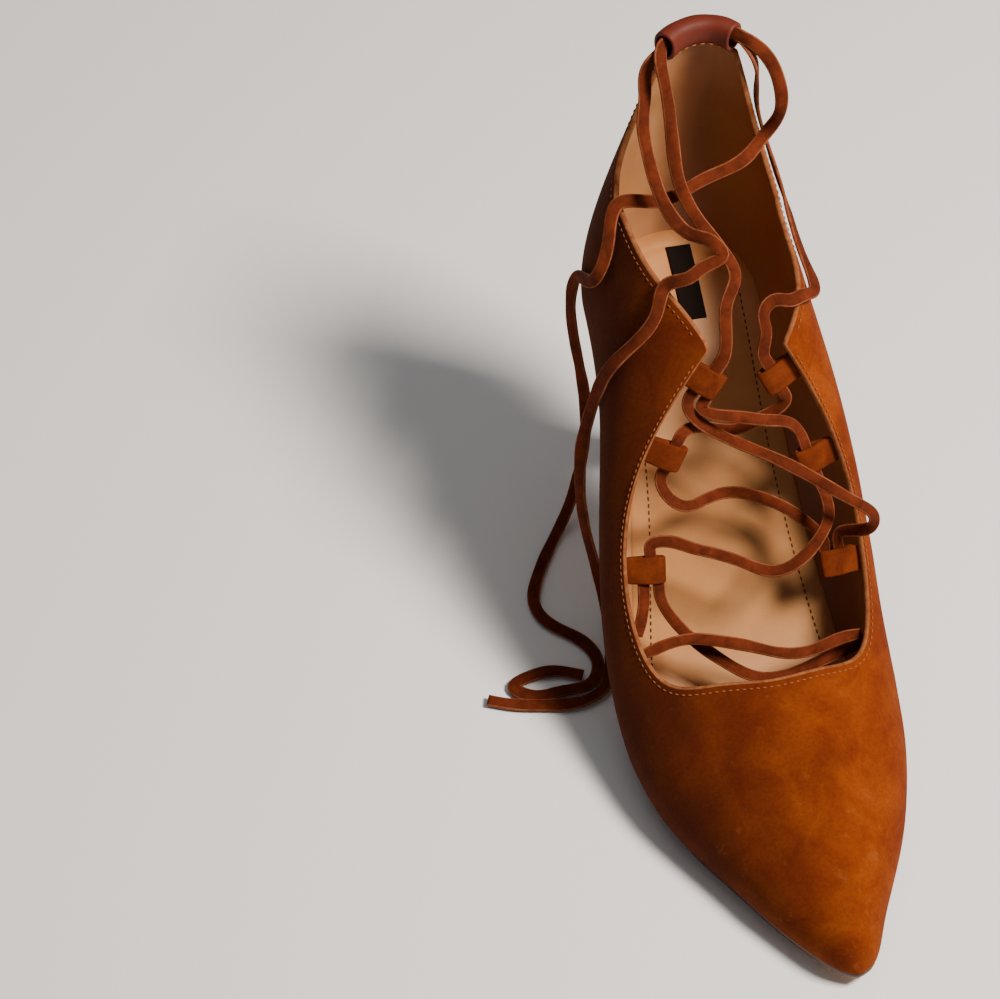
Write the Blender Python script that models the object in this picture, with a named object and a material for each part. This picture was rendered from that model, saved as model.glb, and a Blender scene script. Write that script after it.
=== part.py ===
"""Lace-up heeled pump, right shoe. Metres, +Z up, toe to -Y, heel to +Y, inner side to +X."""
import math

import bpy
import bmesh
import numpy as np
from mathutils import Vector

# Sizes of the shoe. SOLE_MARGIN is how far the sole's edge stands out past the bottom corner
# of the upper, here a little inside it. GAP is the clearance of pieces that meet.
LENGTH = 0.230
BALL_WIDTH = 0.086
HEEL_HEIGHT = 0.094
WALL = 0.0018
GAP = 0.0003
SOLE_THICKNESS = 0.0025
SOLE_MARGIN = -0.0003
SOLE_BEVEL = 0.0008
INSOLE_THICKNESS = 0.0016
INSOLE_CLEARANCE = 0.0006
HEEL_SEAT_GAP = 0.0004
SOLE_RIBS = 40
TIP_THICKNESS = 0.0060

# Sections of the last. step 0 is the tip of the toe, step 1 the centre of the heel seat, and
# the last row the middle of the back, where the sections have turned round that centre.
# along: share of LENGTH from the tip. rise: share of HEEL_HEIGHT of the bottom line.
# middle: offset of the centre line to the inner side, lateral and medial: half widths of the
# bottom outline, ridge: height of the closed top of the section, all as shares of BALL_WIDTH.
BACK_REACH = 0.12
LAST = (
    # step, along, rise, middle, lateral, medial, ridge
    (0.00, 0.000, 0.050, 0.110, 0.000, 0.000, 0.000),
    (0.10, 0.014, 0.046, 0.109, 0.065, 0.068, 0.105),
    (0.20, 0.050, 0.034, 0.104, 0.138, 0.118, 0.175),
    (0.30, 0.105, 0.018, 0.090, 0.220, 0.190, 0.245),
    (0.40, 0.180, 0.006, 0.068, 0.312, 0.300, 0.320),
    (0.50, 0.270, -0.004, 0.040, 0.410, 0.395, 0.405),
    (0.60, 0.370, 0.004, 0.016, 0.440, 0.440, 0.510),
    (0.70, 0.475, 0.105, 0.002, 0.420, 0.403, 0.625),
    (0.80, 0.590, 0.360, 0.000, 0.370, 0.335, 0.735),
    (0.90, 0.710, 0.670, -0.004, 0.330, 0.288, 0.870),
    (1.00, 0.861, 0.915, -0.026, 0.330, 0.302, 1.250),
    (1.00 + BACK_REACH, 0.861, 0.980, -0.026, 0.340, 0.340, 1.700),
)
# Shape of a half section between its bottom corner and its ridge, as four inner handles.
# swell: how far the wall stands out past the bottom corner, share of BALL_WIDTH.
# low, high: heights of the first two handles, shares of the ridge height.
# full, crown: how far out the second and third handle lie, shares of the half width.
# lean: shift to the inner side per unit of height.
SHAPE = (
    # step, swell, low, high, full, crown, lean
    (0.00, 0.010, 0.25, 0.78, 0.98, 0.52, 0.00),
    (0.30, 0.045, 0.25, 0.76, 0.96, 0.50, 0.00),
    (0.50, 0.090, 0.25, 0.74, 0.95, 0.50, 0.00),
    (0.60, 0.130, 0.25, 0.72, 0.95, 0.52, 0.00),
    (0.70, 0.180, 0.24, 0.72, 0.98, 0.54, 0.03),
    (0.80, 0.215, 0.22, 0.72, 1.02, 0.58, 0.06),
    (0.90, 0.190, 0.21, 0.66, 0.88, 0.55, 0.06),
    (1.00, 0.175, 0.18, 0.55, 0.33, 0.07, 0.05),
    (1.00 + BACK_REACH, 0.110, 0.20, 0.55, 0.82, 0.62, 0.085),
)

# Edge of the opening. rib 0 is the front of the throat, rib 1 the upper corner of the quarter
# and rib 2 the middle of the back. base and top: step of the section at the bottom corner and
# at the edge, where steps from 1 to 2 turn round the heel.
# lateral, medial: how far the edge lies up the section on either side, 1 is the ridge.
# The first row mirrors the third, for a smooth front of the throat.
THROAT = (
    # rib, base, top, lateral, medial
    (-0.20, -0.330, 0.602, 1.200, 1.200),
    (0.00, 0.000, 0.592, 1.000, 1.000),
    (0.20, 0.330, 0.602, 0.800, 0.800),
    (0.40, 0.540, 0.630, 0.610, 0.610),
    (0.60, 0.680, 0.715, 0.510, 0.510),
    (0.80, 0.780, 0.800, 0.560, 0.580),
    (1.00, 0.870, 0.865, 0.860, 0.800),
)
# lateral, medial: height of the edge above the bottom corner, share of BALL_WIDTH.
COLLAR = (
    # rib, base, top, lateral, medial
    (1.00, 0.870, 0.865, 0.776, 0.748),
    (1.10, 0.910, 0.910, 0.760, 0.685),
    (1.20, 0.960, 0.970, 0.645, 0.565),
    (1.40, 1.130, 1.130, 0.610, 0.520),
    (1.60, 1.400, 1.400, 0.690, 0.660),
    (1.78, 1.680, 1.680, 0.955, 0.945),
    (2.00, 2.000, 2.000, 1.200, 1.200),
)

# Heel from the seat down to the top piece, about the centre of the heel seat.
# level: share of the way down. width: half width. back, front: reach behind and before the
# axis. shift: place of the axis behind the centre of the seat. In metres.
HEEL = (
    # level, width, back, front, shift
    (0.00, 0.0255, 0.0260, 0.0170, 0.0000),
    (0.10, 0.0220, 0.0235, 0.0145, 0.0005),
    (0.25, 0.0155, 0.0180, 0.0110, 0.0030),
    (0.45, 0.0100, 0.0115, 0.0080, 0.0070),
    (0.70, 0.0068, 0.0072, 0.0058, 0.0095),
    (1.00, 0.0056, 0.0058, 0.0048, 0.0105),
)
HEEL_POINTS = 20
# Share of the last's back that the upper covers.
BACK_TOP = 0.955

# Tunnel for the laces along the top of the back. TUNNEL_END: rib where it starts and ends.
TUNNEL_END = 1.72
TUNNEL_HEIGHT = 0.0098
TUNNEL_DEPTH = 0.0076
TUNNEL_WALL = 0.0012
TUNNEL_STEPS = 10
TUNNEL_POINTS = 14
TUNNEL_GAP = 0.0002

# Lace loops at the edge of the throat, the first pair uppermost. side: -1 outer, 1 inner.
# rib: place along the edge.
LOOPS = (
    # name, side, rib
    ("loop_outer_1", -1.0, 0.975),
    ("loop_outer_2", -1.0, 0.870),
    ("loop_outer_3", -1.0, 0.685),
    ("loop_inner_1", 1.0, 0.970),
    ("loop_inner_2", 1.0, 0.825),
    ("loop_inner_3", 1.0, 0.645),
)
LOOP_WIDTH = 0.0085
LOOP_LENGTH = 0.0125
# How far the root lies below the edge, inside the wall, and its clearance to that wall.
LOOP_TUCK = 0.0030
LOOP_GAP = 0.0007
# Tilt of the loop away from the wall's own slope, towards the inside.
LOOP_RISE = 0.15
LOOP_SHAPE = (
    # along as a share of the length, half thickness in metres
    (0.00, 0.0011),
    (0.25, 0.0014),
    (0.48, 0.0021),
    (0.74, 0.0021),
    (0.92, 0.0013),
)
EYE_CENTRE = 0.66
EYE_LENGTH = 0.0058
EYE_HEIGHT = 0.0022

# Crossings of the lace between the loops, as points that each smooth path goes through.
LACE_WIDTH = 0.0032
LACE_THICKNESS = 0.0014
LACE_STEP = 0.0030
LACE_FACE = (0.0, -0.55, 0.83)
CROSSINGS = {
    # x, y, z
    "lace_1": (
        (-0.0071, 0.0338, 0.1047),
        (-0.0083, 0.0332, 0.1032),
        (0.0032, 0.0288, 0.0998),
        (0.0113, 0.0282, 0.0972),
        (0.0185, 0.0283, 0.0941),
        (0.0226, 0.0262, 0.0878),
        (0.0231, 0.0254, 0.0861),
    ),
    "lace_2": (
        (0.0169, 0.0341, 0.1032),
        (0.0178, 0.0333, 0.1016),
        (0.0097, 0.0329, 0.0926),
        (0.0029, 0.0337, 0.0884),
        (-0.0063, 0.0340, 0.0912),
        (-0.0155, 0.0296, 0.0942),
        (-0.0164, 0.0290, 0.0926),
    ),
    "lace_3": (
        (-0.0109, 0.0353, 0.1071),
        (-0.0121, 0.0346, 0.1056),
        (-0.0030, 0.0285, 0.0930),
        (0.0085, 0.0212, 0.0905),
        (0.0215, 0.0125, 0.0868),
        (0.0298, 0.0061, 0.0839),
        (0.0354, 0.0028, 0.0812),
        (0.0390, 0.0017, 0.0773),
        (0.0386, 0.0024, 0.0696),
        (0.0310, 0.0084, 0.0588),
        (0.0311, 0.0071, 0.0573),
    ),
    "lace_4": (
        (-0.0212, 0.0254, 0.0842),
        (-0.0221, 0.0248, 0.0825),
        (-0.0157, 0.0197, 0.0723),
        (-0.0088, 0.0220, 0.0707),
        (0.0000, 0.0241, 0.0699),
        (0.0093, 0.0225, 0.0672),
        (0.0183, 0.0190, 0.0629),
        (0.0243, 0.0138, 0.0598),
        (0.0266, 0.0080, 0.0590),
        (0.0266, 0.0067, 0.0575),
    ),
    "lace_5": (
        (0.0260, 0.0209, 0.0773),
        (0.0266, 0.0200, 0.0756),
        (0.0275, 0.0089, 0.0712),
        (0.0227, 0.0027, 0.0671),
        (0.0164, 0.0000, 0.0616),
        (0.0091, 0.0001, 0.0583),
        (0.0004, 0.0037, 0.0599),
        (-0.0074, 0.0073, 0.0618),
        (-0.0156, 0.0105, 0.0633),
        (-0.0220, 0.0131, 0.0645),
        (-0.0277, 0.0128, 0.0635),
        (-0.0278, 0.0115, 0.0620),
    ),
    "lace_6": (
        (-0.0263, 0.0047, 0.0540),
        (-0.0264, 0.0035, 0.0524),
        (-0.0231, -0.0012, 0.0441),
        (-0.0168, -0.0055, 0.0365),
        (-0.0079, -0.0113, 0.0304),
        (0.0008, -0.0158, 0.0267),
        (0.0119, -0.0168, 0.0261),
        (0.0213, -0.0150, 0.0276),
        (0.0305, -0.0135, 0.0300),
        (0.0363, -0.0154, 0.0360),
    ),
    "lace_7": (
        (-0.0341, -0.0108, 0.0407),
        (-0.0190, -0.0083, 0.0415),
        (-0.0098, -0.0100, 0.0403),
        (0.0008, -0.0129, 0.0381),
        (0.0099, -0.0155, 0.0361),
        (0.0194, -0.0158, 0.0361),
        (0.0271, -0.0143, 0.0373),
        (0.0347, -0.0143, 0.0386),
    ),
    "lace_8": (
        (-0.0310, 0.0054, 0.0540),
        (-0.0311, 0.0041, 0.0525),
        (-0.0350, -0.0059, 0.0438),
    ),
}

# Free ends of the lace, as round cords in the tunnel and down to the floor.
CORD_DIAMETER = 0.0022
CORD_SPACING = 0.0070
CORD_ENDS = {
    # x, y, z
    "lace_end_1": (
        (-0.0030, 0.0380, 0.1138),
        (-0.0016, 0.0387, 0.1155),
        (0.0021, 0.0502, 0.1284),
        (0.0062, 0.0577, 0.1314),
        (0.0039, 0.0656, 0.1350),
        (-0.0019, 0.0727, 0.1419),
        (-0.0066, 0.0796, 0.1514),
        (-0.0078, 0.0855, 0.1619),
        (-0.0082, 0.0908, 0.1718),
        (-0.0090, 0.0955, 0.1797),
        (-0.0086, 0.1026, 0.1829),
        (-0.0073, 0.1057, 0.1842),
        (-0.0061, 0.1070, 0.1843),
        (-0.0041, 0.1086, 0.1845),
        (-0.0019, 0.1099, 0.1847),
        (0.0004, 0.1109, 0.1848),
        (0.0027, 0.1114, 0.1848),
        (0.0051, 0.1116, 0.1849),
        (0.0075, 0.1114, 0.1848),
        (0.0097, 0.1108, 0.1848),
        (0.0117, 0.1098, 0.1846),
        (0.0135, 0.1085, 0.1845),
        (0.0151, 0.1069, 0.1843),
        (0.0163, 0.1056, 0.1841),
        (0.0185, 0.1033, 0.1838),
        (0.0228, 0.1010, 0.1801),
        (0.0272, 0.0977, 0.1709),
        (0.0279, 0.0952, 0.1615),
        (0.0237, 0.0965, 0.1495),
        (0.0161, 0.0896, 0.1480),
        (0.0015, 0.0842, 0.1468),
        (-0.0138, 0.0804, 0.1446),
        (-0.0247, 0.0817, 0.1445),
        (-0.0292, 0.0747, 0.1357),
        (-0.0334, 0.0707, 0.1258),
        (-0.0357, 0.0858, 0.1100),
        (-0.0365, 0.0914, 0.0940),
        (-0.0354, 0.0902, 0.0760),
        (-0.0329, 0.0883, 0.0580),
        (-0.0317, 0.0858, 0.0380),
        (-0.0340, 0.0826, 0.0190),
        (-0.0392, 0.0761, 0.0070),
        (-0.0427, 0.0722, 0.0030),
        (-0.0474, 0.0656, 0.0017),
        (-0.0543, 0.0534, 0.0016),
        (-0.0572, 0.0423, 0.0016),
        (-0.0544, 0.0351, 0.0016),
        (-0.0461, 0.0269, 0.0016),
        (-0.0418, 0.0163, 0.0016),
        (-0.0453, 0.0090, 0.0016),
        (-0.0555, 0.0074, 0.0016),
        (-0.0659, 0.0078, 0.0016),
        (-0.0703, 0.0119, 0.0016),
        (-0.0644, 0.0151, 0.0016),
        (-0.0558, 0.0155, 0.0016),
        (-0.0476, 0.0122, 0.0016),
    ),
    "lace_end_2": (
        (0.0128, 0.0382, 0.1120),
        (0.0118, 0.0390, 0.1138),
        (0.0128, 0.0427, 0.1211),
        (0.0126, 0.0462, 0.1264),
        (0.0163, 0.0478, 0.1293),
        (0.0210, 0.0470, 0.1291),
        (0.0244, 0.0483, 0.1288),
        (0.0293, 0.0516, 0.1261),
        (0.0304, 0.0650, 0.1253),
        (0.0298, 0.0830, 0.1279),
        (0.0298, 0.0880, 0.1286),
        (0.0281, 0.0943, 0.1348),
        (0.0254, 0.0999, 0.1447),
        (0.0226, 0.1037, 0.1578),
        (0.0180, 0.1038, 0.1805),
        (0.0163, 0.1056, 0.1815),
        (0.0151, 0.1069, 0.1817),
        (0.0135, 0.1085, 0.1819),
        (0.0117, 0.1098, 0.1820),
        (0.0097, 0.1108, 0.1822),
        (0.0075, 0.1114, 0.1822),
        (0.0051, 0.1116, 0.1823),
        (0.0027, 0.1114, 0.1822),
        (0.0004, 0.1109, 0.1822),
        (-0.0019, 0.1099, 0.1821),
        (-0.0041, 0.1086, 0.1819),
        (-0.0061, 0.1070, 0.1817),
        (-0.0075, 0.1059, 0.1816),
        (-0.0101, 0.1037, 0.1814),
        (-0.0125, 0.1025, 0.1787),
        (-0.0143, 0.0968, 0.1737),
        (-0.0158, 0.0918, 0.1681),
        (-0.0156, 0.0862, 0.1610),
        (-0.0142, 0.0787, 0.1538),
        (-0.0121, 0.0715, 0.1495),
        (-0.0071, 0.0622, 0.1478),
        (-0.0012, 0.0553, 0.1495),
        (0.0004, 0.0527, 0.1476),
        (-0.0049, 0.0517, 0.1446),
        (-0.0106, 0.0500, 0.1423),
        (-0.0166, 0.0523, 0.1378),
        (-0.0201, 0.0478, 0.1318),
        (-0.0247, 0.0453, 0.1253),
        (-0.0323, 0.0451, 0.1159),
        (-0.0382, 0.0488, 0.0940),
        (-0.0414, 0.0484, 0.0760),
        (-0.0423, 0.0471, 0.0590),
        (-0.0413, 0.0441, 0.0410),
        (-0.0382, 0.0412, 0.0230),
        (-0.0357, 0.0374, 0.0090),
        (-0.0351, 0.0320, 0.0040),
        (-0.0353, 0.0262, 0.0020),
        (-0.0375, 0.0163, 0.0016),
        (-0.0420, 0.0059, 0.0016),
        (-0.0507, 0.0021, 0.0016),
        (-0.0620, 0.0031, 0.0016),
        (-0.0722, 0.0055, 0.0016),
        (-0.0795, 0.0085, 0.0016),
    ),
}


def spline(table, column):
    """Natural cubic through one column of a table, against its first column."""
    xs = np.array([row[0] for row in table])
    ys = np.array([row[column] for row in table])
    n = len(xs)
    step = np.diff(xs)
    slope = np.diff(ys) / step
    lhs = np.eye(n)
    rhs = np.zeros(n)
    for i in range(1, n - 1):
        lhs[i, i - 1] = step[i - 1]
        lhs[i, i] = 2 * (step[i - 1] + step[i])
        lhs[i, i + 1] = step[i]
        rhs[i] = 3 * (slope[i] - slope[i - 1])
    c = np.linalg.solve(lhs, rhs)
    b = slope - step * (2 * c[:-1] + c[1:]) / 3
    d = np.diff(c) / (3 * step)

    def value(x):
        i = min(max(int(np.searchsorted(xs, x)) - 1, 0), n - 2)
        t = x - xs[i]
        return float(ys[i] + t * (b[i] + t * (c[i] + t * d[i])))
    return value


ALONG, RISE, MIDDLE = (spline(LAST[:-1], i) for i in (1, 2, 3))
LATERAL, MEDIAL, RIDGE = (spline(LAST, i) for i in (4, 5, 6))
SWELL, LOW, HIGH, FULL, CROWN, LEAN = (spline(SHAPE, i) for i in range(1, 7))
BOTTOM_LINE = spline([(row[1], row[2]) for row in LAST[:-1]] + [(1.0, 1.0)], 1)
THROAT_EDGE = [spline(THROAT, i) for i in range(1, 5)]
COLLAR_EDGE = [spline(COLLAR, i) for i in range(1, 5)]


def floor_height(y):
    """Height of the bottom corner of the upper at a length position."""
    share = (y + LENGTH / 2) / LENGTH
    rise = max(BOTTOM_LINE(min(max(share, 0.0), 1.0)), 0.0)
    return SOLE_THICKNESS + GAP + HEEL_HEIGHT * rise


def bezier(t, handles):
    """Point on a curve of the fourth degree."""
    r = 1 - t
    w = (r ** 4, 4 * t * r ** 3, 6 * t * t * r * r, 4 * t ** 3 * r, t ** 4)
    return sum(a * b for a, b in zip(w, handles))


def reach_of(step):
    """Place of a step in the tables: the turn round the heel takes BACK_REACH."""
    share = max(step - 1.0, 0.0)
    return min(step, 1.0) + BACK_REACH * (share + share ** 2 - share ** 3)


def half_section(side, step):
    """Handles of a half section outwards and upwards, in shares of BALL_WIDTH."""
    reach = reach_of(step)
    width = LATERAL(reach) if side < 0 else MEDIAL(reach)
    ridge = RIDGE(reach)
    swell = SWELL(reach) * min(1.0, reach / 0.3)
    outs = (width, width + swell, width * FULL(reach) + swell, width * CROWN(reach), 0.0)
    ups = (0.0, ridge * LOW(reach), ridge * HIGH(reach), ridge, ridge)
    return outs, ups


def last_point(side, step, turn):
    """Point of the outer surface: step along the last, turn from bottom corner to ridge."""
    outs, ups = half_section(side, step)
    near = min(step, 1.0)
    angle = max(step - 1.0, 0.0) * math.pi / 2
    out = bezier(turn, outs) * BALL_WIDTH
    up = bezier(turn, ups) * BALL_WIDTH
    x = MIDDLE(near) * BALL_WIDTH + side * out * math.cos(angle) + LEAN(reach_of(step)) * up
    centre_y = ALONG(near) * LENGTH - LENGTH / 2
    foot_y = centre_y + outs[0] * BALL_WIDTH * math.sin(angle)
    return np.array((x, centre_y + out * math.sin(angle), floor_height(foot_y) + up))


def turn_at(side, step, height):
    """Turn at which a half section reaches a height."""
    ups = half_section(side, step)[1]
    low, high = 0.0, 1.0
    for _ in range(30):
        middle = (low + high) / 2
        if bezier(middle, ups) < height:
            low = middle
        else:
            high = middle
    return low


def edge_of(side, rib):
    """Base step, top step and turn of the edge of the opening."""
    own = 2 if side < 0 else 3
    if rib <= 1.0:
        base, top, turn = (THROAT_EDGE[i](rib) for i in (0, 1, own))
        return max(base, 0.0), top, min(turn, 1.0)
    base, top, height = (COLLAR_EDGE[i](rib) for i in (0, 1, own))
    return base, top, turn_at(side, top, min(height, BACK_TOP))


def rib_point(side, rib, climb):
    """Point of the upper: rib 0 to 2 from throat to back, climb 0 to 1 from sole to edge."""
    base, top, turn = edge_of(side, rib)
    quarter = math.pi / 2
    across = (1 - climb) * base + climb * top * math.cos(turn * quarter)
    upward = climb * top * math.sin(turn * quarter)
    flat_step = math.hypot(across, upward)
    flat_turn = math.atan2(upward, across) / quarter if flat_step > 0 else 0.0
    blend = min(max((rib - 0.1) / 0.8, 0.0), 1.0)
    blend = blend * blend * (3 - 2 * blend)
    step = flat_step + (base + (top - base) * climb - flat_step) * blend
    turned = flat_turn + (turn * climb - flat_turn) * blend
    return last_point(side, step, turned)


def loop_of(ribs_per_side):
    """Ribs round the shoe as (side, rib): toe, inner side, back, outer side."""
    ribs = [2.0 * i / ribs_per_side for i in range(ribs_per_side + 1)]
    inner = [(1.0, r) for r in ribs]
    outer = [(-1.0, r) for r in reversed(ribs[1:-1])]
    return inner + outer


def grid_normals(grid):
    """Outward normals of a grid that is closed in its first direction."""
    along = np.roll(grid, -1, axis=0) - np.roll(grid, 1, axis=0)
    up = np.gradient(grid, axis=1)
    normal = np.cross(along, up)
    size = np.linalg.norm(normal, axis=2, keepdims=True)
    return normal / np.maximum(size, 1e-12)


def finish(name, vertices, faces, material, smooth=True):
    """Mesh object from vertices and faces with one material."""
    mesh = bpy.data.meshes.new(name)
    mesh.from_pydata([tuple(v) for v in vertices], [], faces)
    work = bmesh.new()
    work.from_mesh(mesh)
    bmesh.ops.recalc_face_normals(work, faces=work.faces)
    work.to_mesh(mesh)
    work.free()
    for polygon in mesh.polygons:
        polygon.use_smooth = smooth
    node = bpy.data.objects.new(name, mesh)
    mesh.materials.append(material)
    bpy.context.scene.collection.objects.link(node)
    return node


def upper(material, ribs_per_side=44, rows=13):
    """Hollow upper: outer skin, inner skin, edge of the opening and bottom edge."""
    ring = loop_of(ribs_per_side)
    climbs = [i / (rows - 1) for i in range(rows)]
    outside = np.array([[rib_point(s, r, c) for c in climbs] for s, r in ring])
    inside = outside - grid_normals(outside) * WALL
    n = len(ring)
    points = np.concatenate([outside.reshape(-1, 3), inside.reshape(-1, 3)])
    faces = []
    for i in range(n):
        j = (i + 1) % n
        for k in range(rows - 1):
            a, b, c, d = i * rows + k, j * rows + k, j * rows + k + 1, i * rows + k + 1
            faces.append((a, b, c, d))
            faces.append(tuple(v + n * rows for v in (d, c, b, a)))
        for k in (0, rows - 1):
            a, b = i * rows + k, j * rows + k
            faces.append((a, b, b + n * rows, a + n * rows))
    return finish("upper", points, faces, material)


def base_loop(ribs_per_side, shift):
    """Bottom corner of the upper all round, moved outwards by a distance."""
    loop = np.array([rib_point(side, rib, 0.0) for side, rib in loop_of(ribs_per_side)])
    along = np.roll(loop, -1, axis=0) - np.roll(loop, 1, axis=0)
    out = np.stack([along[:, 1], -along[:, 0]], axis=1)
    out /= np.linalg.norm(out, axis=1, keepdims=True)
    loop[:, :2] += out * shift
    for point in loop:
        point[2] = floor_height(point[1])
    return loop


def drop(loop, depth):
    """Loop moved square to the bottom line, down for a positive depth."""
    moved = loop.copy()
    for point, source in zip(moved, loop):
        slope = slope_at(source[1])
        size = math.hypot(1.0, slope)
        point[1] += slope / size * depth
        point[2] = source[2] - depth / size
    return moved


def plate(name, rings, material):
    """Solid between loops of the shoe's outline, closed across from side to side."""
    n = len(rings[0])
    half = n // 2
    points = np.concatenate(rings)
    faces = []
    for k in range(len(rings) - 1):
        for i in range(n):
            j = (i + 1) % n
            faces.append((k * n + i, k * n + j, (k + 1) * n + j, (k + 1) * n + i))
    for start in (0, (len(rings) - 1) * n):
        faces.append((start, start + 1, start + n - 1))
        for i in range(1, half - 1):
            faces.append((start + i, start + i + 1, start + n - i - 1, start + n - i))
        faces.append((start + half - 1, start + half, start + half + 1))
    return finish(name, points, faces, material)


def outsole(material):
    """Thin sole under the whole shoe with a bevelled lower edge."""
    top = drop(base_loop(SOLE_RIBS, SOLE_MARGIN), GAP)
    edge = drop(base_loop(SOLE_RIBS, SOLE_MARGIN), GAP + SOLE_THICKNESS - SOLE_BEVEL)
    under = drop(base_loop(SOLE_RIBS, SOLE_MARGIN - SOLE_BEVEL), GAP + SOLE_THICKNESS)
    return plate("outsole", [top, edge, under], material)


def insole(material):
    """Full-length sock inside the upper."""
    inset = -(WALL + GAP + INSOLE_CLEARANCE)
    under = base_loop(SOLE_RIBS, inset)
    return plate("insole", [under, drop(under, -INSOLE_THICKNESS)], material)


def ring_points(width, back, front):
    """Closed outline of the heel at one level: round at the back, flatter at the front."""
    count = HEEL_POINTS
    points = []
    for i in range(count):
        angle = 2 * math.pi * i / count
        cosine, sine = math.cos(angle), math.sin(angle)
        reach = back if sine > 0 else front
        flat = abs(sine) ** 0.6 if sine < 0 else abs(sine)
        across = math.copysign(abs(cosine) ** (0.8 if sine < 0 else 1.0), cosine)
        points.append((width * across, math.copysign(reach * flat, sine)))
    return points


def loft(name, rings, material):
    """Solid through closed rings with flat or gently curved ends."""
    n = len(rings[0])
    points = [point for ring in rings for point in ring]
    faces = []
    for k in range(len(rings) - 1):
        for i in range(n):
            j = (i + 1) % n
            faces.append((k * n + i, k * n + j, (k + 1) * n + j, (k + 1) * n + i))
    last = (len(rings) - 1) * n
    for start in (0, last):
        for i in range(n // 2 - 1):
            faces.append((start + i, start + i + 1, start + n - i - 2, start + n - i - 1))
    return finish(name, points, faces, material)


def slope_at(y):
    """Slope of the bottom line."""
    step = 0.002
    return (floor_height(y + step) - floor_height(y - step)) / (2 * step)


def seat_middle():
    """Sideways and lengthwise place of the middle of the heel seat."""
    sideways = MIDDLE(1.0) + (MEDIAL(1.0) - LATERAL(1.0)) / 2
    return sideways * BALL_WIDTH, ALONG(1.0) * LENGTH - LENGTH / 2


def heel(material):
    """Slim heel under the seat of the outsole."""
    middle, centre = seat_middle()
    depth = GAP + SOLE_THICKNESS + HEEL_SEAT_GAP
    seats = []
    for _, y in ring_points(*HEEL[0][1:4]):
        place = centre + y + HEEL[0][4]
        seats.append(floor_height(place) - depth * math.hypot(1.0, slope_at(place)))
    rings = []
    for level, width, back, front, shift in HEEL:
        outline = ring_points(width, back, front)
        rings.append([
            (middle + x, centre + y + shift, seat + (TIP_THICKNESS + GAP - seat) * level)
            for (x, y), seat in zip(outline, seats)
        ])
    return loft("heel", rings, material)


def heel_tip(material):
    """Top piece under the heel."""
    middle, centre = seat_middle()
    width, back, front, shift = HEEL[-1][1:]
    outline = [(middle + x, centre + y + shift) for x, y in ring_points(width, back, front)]
    rings = [[(x, y, z) for x, y in outline] for z in (TIP_THICKNESS, 0.0)]
    return loft("heel_tip", rings, material)


def unit(vector):
    """Vector of length 1."""
    return vector / np.linalg.norm(vector)


def back_tunnel(material):
    """Flattened tube along the top edge of the back."""
    span = 2.0 - TUNNEL_END
    stations = [-span + 2 * span * i / TUNNEL_STEPS for i in range(TUNNEL_STEPS + 1)]
    edge = []
    for place in stations:
        side = -1.0 if place < 0 else 1.0
        step = 2.0 - abs(place)
        edge.append(last_point(side, step, turn_at(side, step, BACK_TOP)))
    edge = np.array(edge)
    along = np.gradient(edge, axis=0)
    lift = TUNNEL_HEIGHT / 2 + TUNNEL_GAP
    points = []
    for point, tangent in zip(edge, along):
        out = unit(np.array((-tangent[1], tangent[0], 0.0)))
        middle = point - out * WALL / 2 + np.array((0.0, 0.0, lift))
        for shrink in (0.0, TUNNEL_WALL):
            for i in range(TUNNEL_POINTS):
                angle = 2 * math.pi * i / TUNNEL_POINTS
                depth = (TUNNEL_DEPTH / 2 - shrink) * math.cos(angle)
                height = (TUNNEL_HEIGHT / 2 - shrink) * math.sin(angle)
                points.append(middle + out * depth + np.array((0.0, 0.0, height)))
    faces = []
    ring = 2 * TUNNEL_POINTS
    for i in range(TUNNEL_POINTS):
        j = (i + 1) % TUNNEL_POINTS
        for k in range(TUNNEL_STEPS):
            a, b = k * ring + i, k * ring + j
            faces.append((a, b, b + ring, a + ring))
            a, b = a + TUNNEL_POINTS, b + TUNNEL_POINTS
            faces.append((b, a, a + ring, b + ring))
        for a in (0, TUNNEL_STEPS * ring):
            faces.append((a + i, a + j, a + j + TUNNEL_POINTS, a + i + TUNNEL_POINTS))
    return finish("back_tunnel", points, faces, material)


def loop_frame(side, rib):
    """Root of a lace loop, and its directions inwards, along the edge and across."""
    step = 0.01
    point = rib_point(side, rib, 1.0)
    up = unit(point - rib_point(side, rib, 1.0 - step))
    along = unit(rib_point(side, rib + step, 1.0) - rib_point(side, rib - step, 1.0))
    if rib + step > 1.0:
        along = unit(point - rib_point(side, rib - step, 1.0))
    out = unit(np.cross(along, up)) * side
    reach = np.array((-side, 0.0, LOOP_RISE))
    reach = unit(reach - along * reach.dot(along))
    across = np.cross(reach, along)
    tilt = LOOP_SHAPE[0][1] * abs(across.dot(out))
    root = point - up * LOOP_TUCK - out * (WALL + LOOP_GAP + tilt)
    return root, reach, along, across


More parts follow.
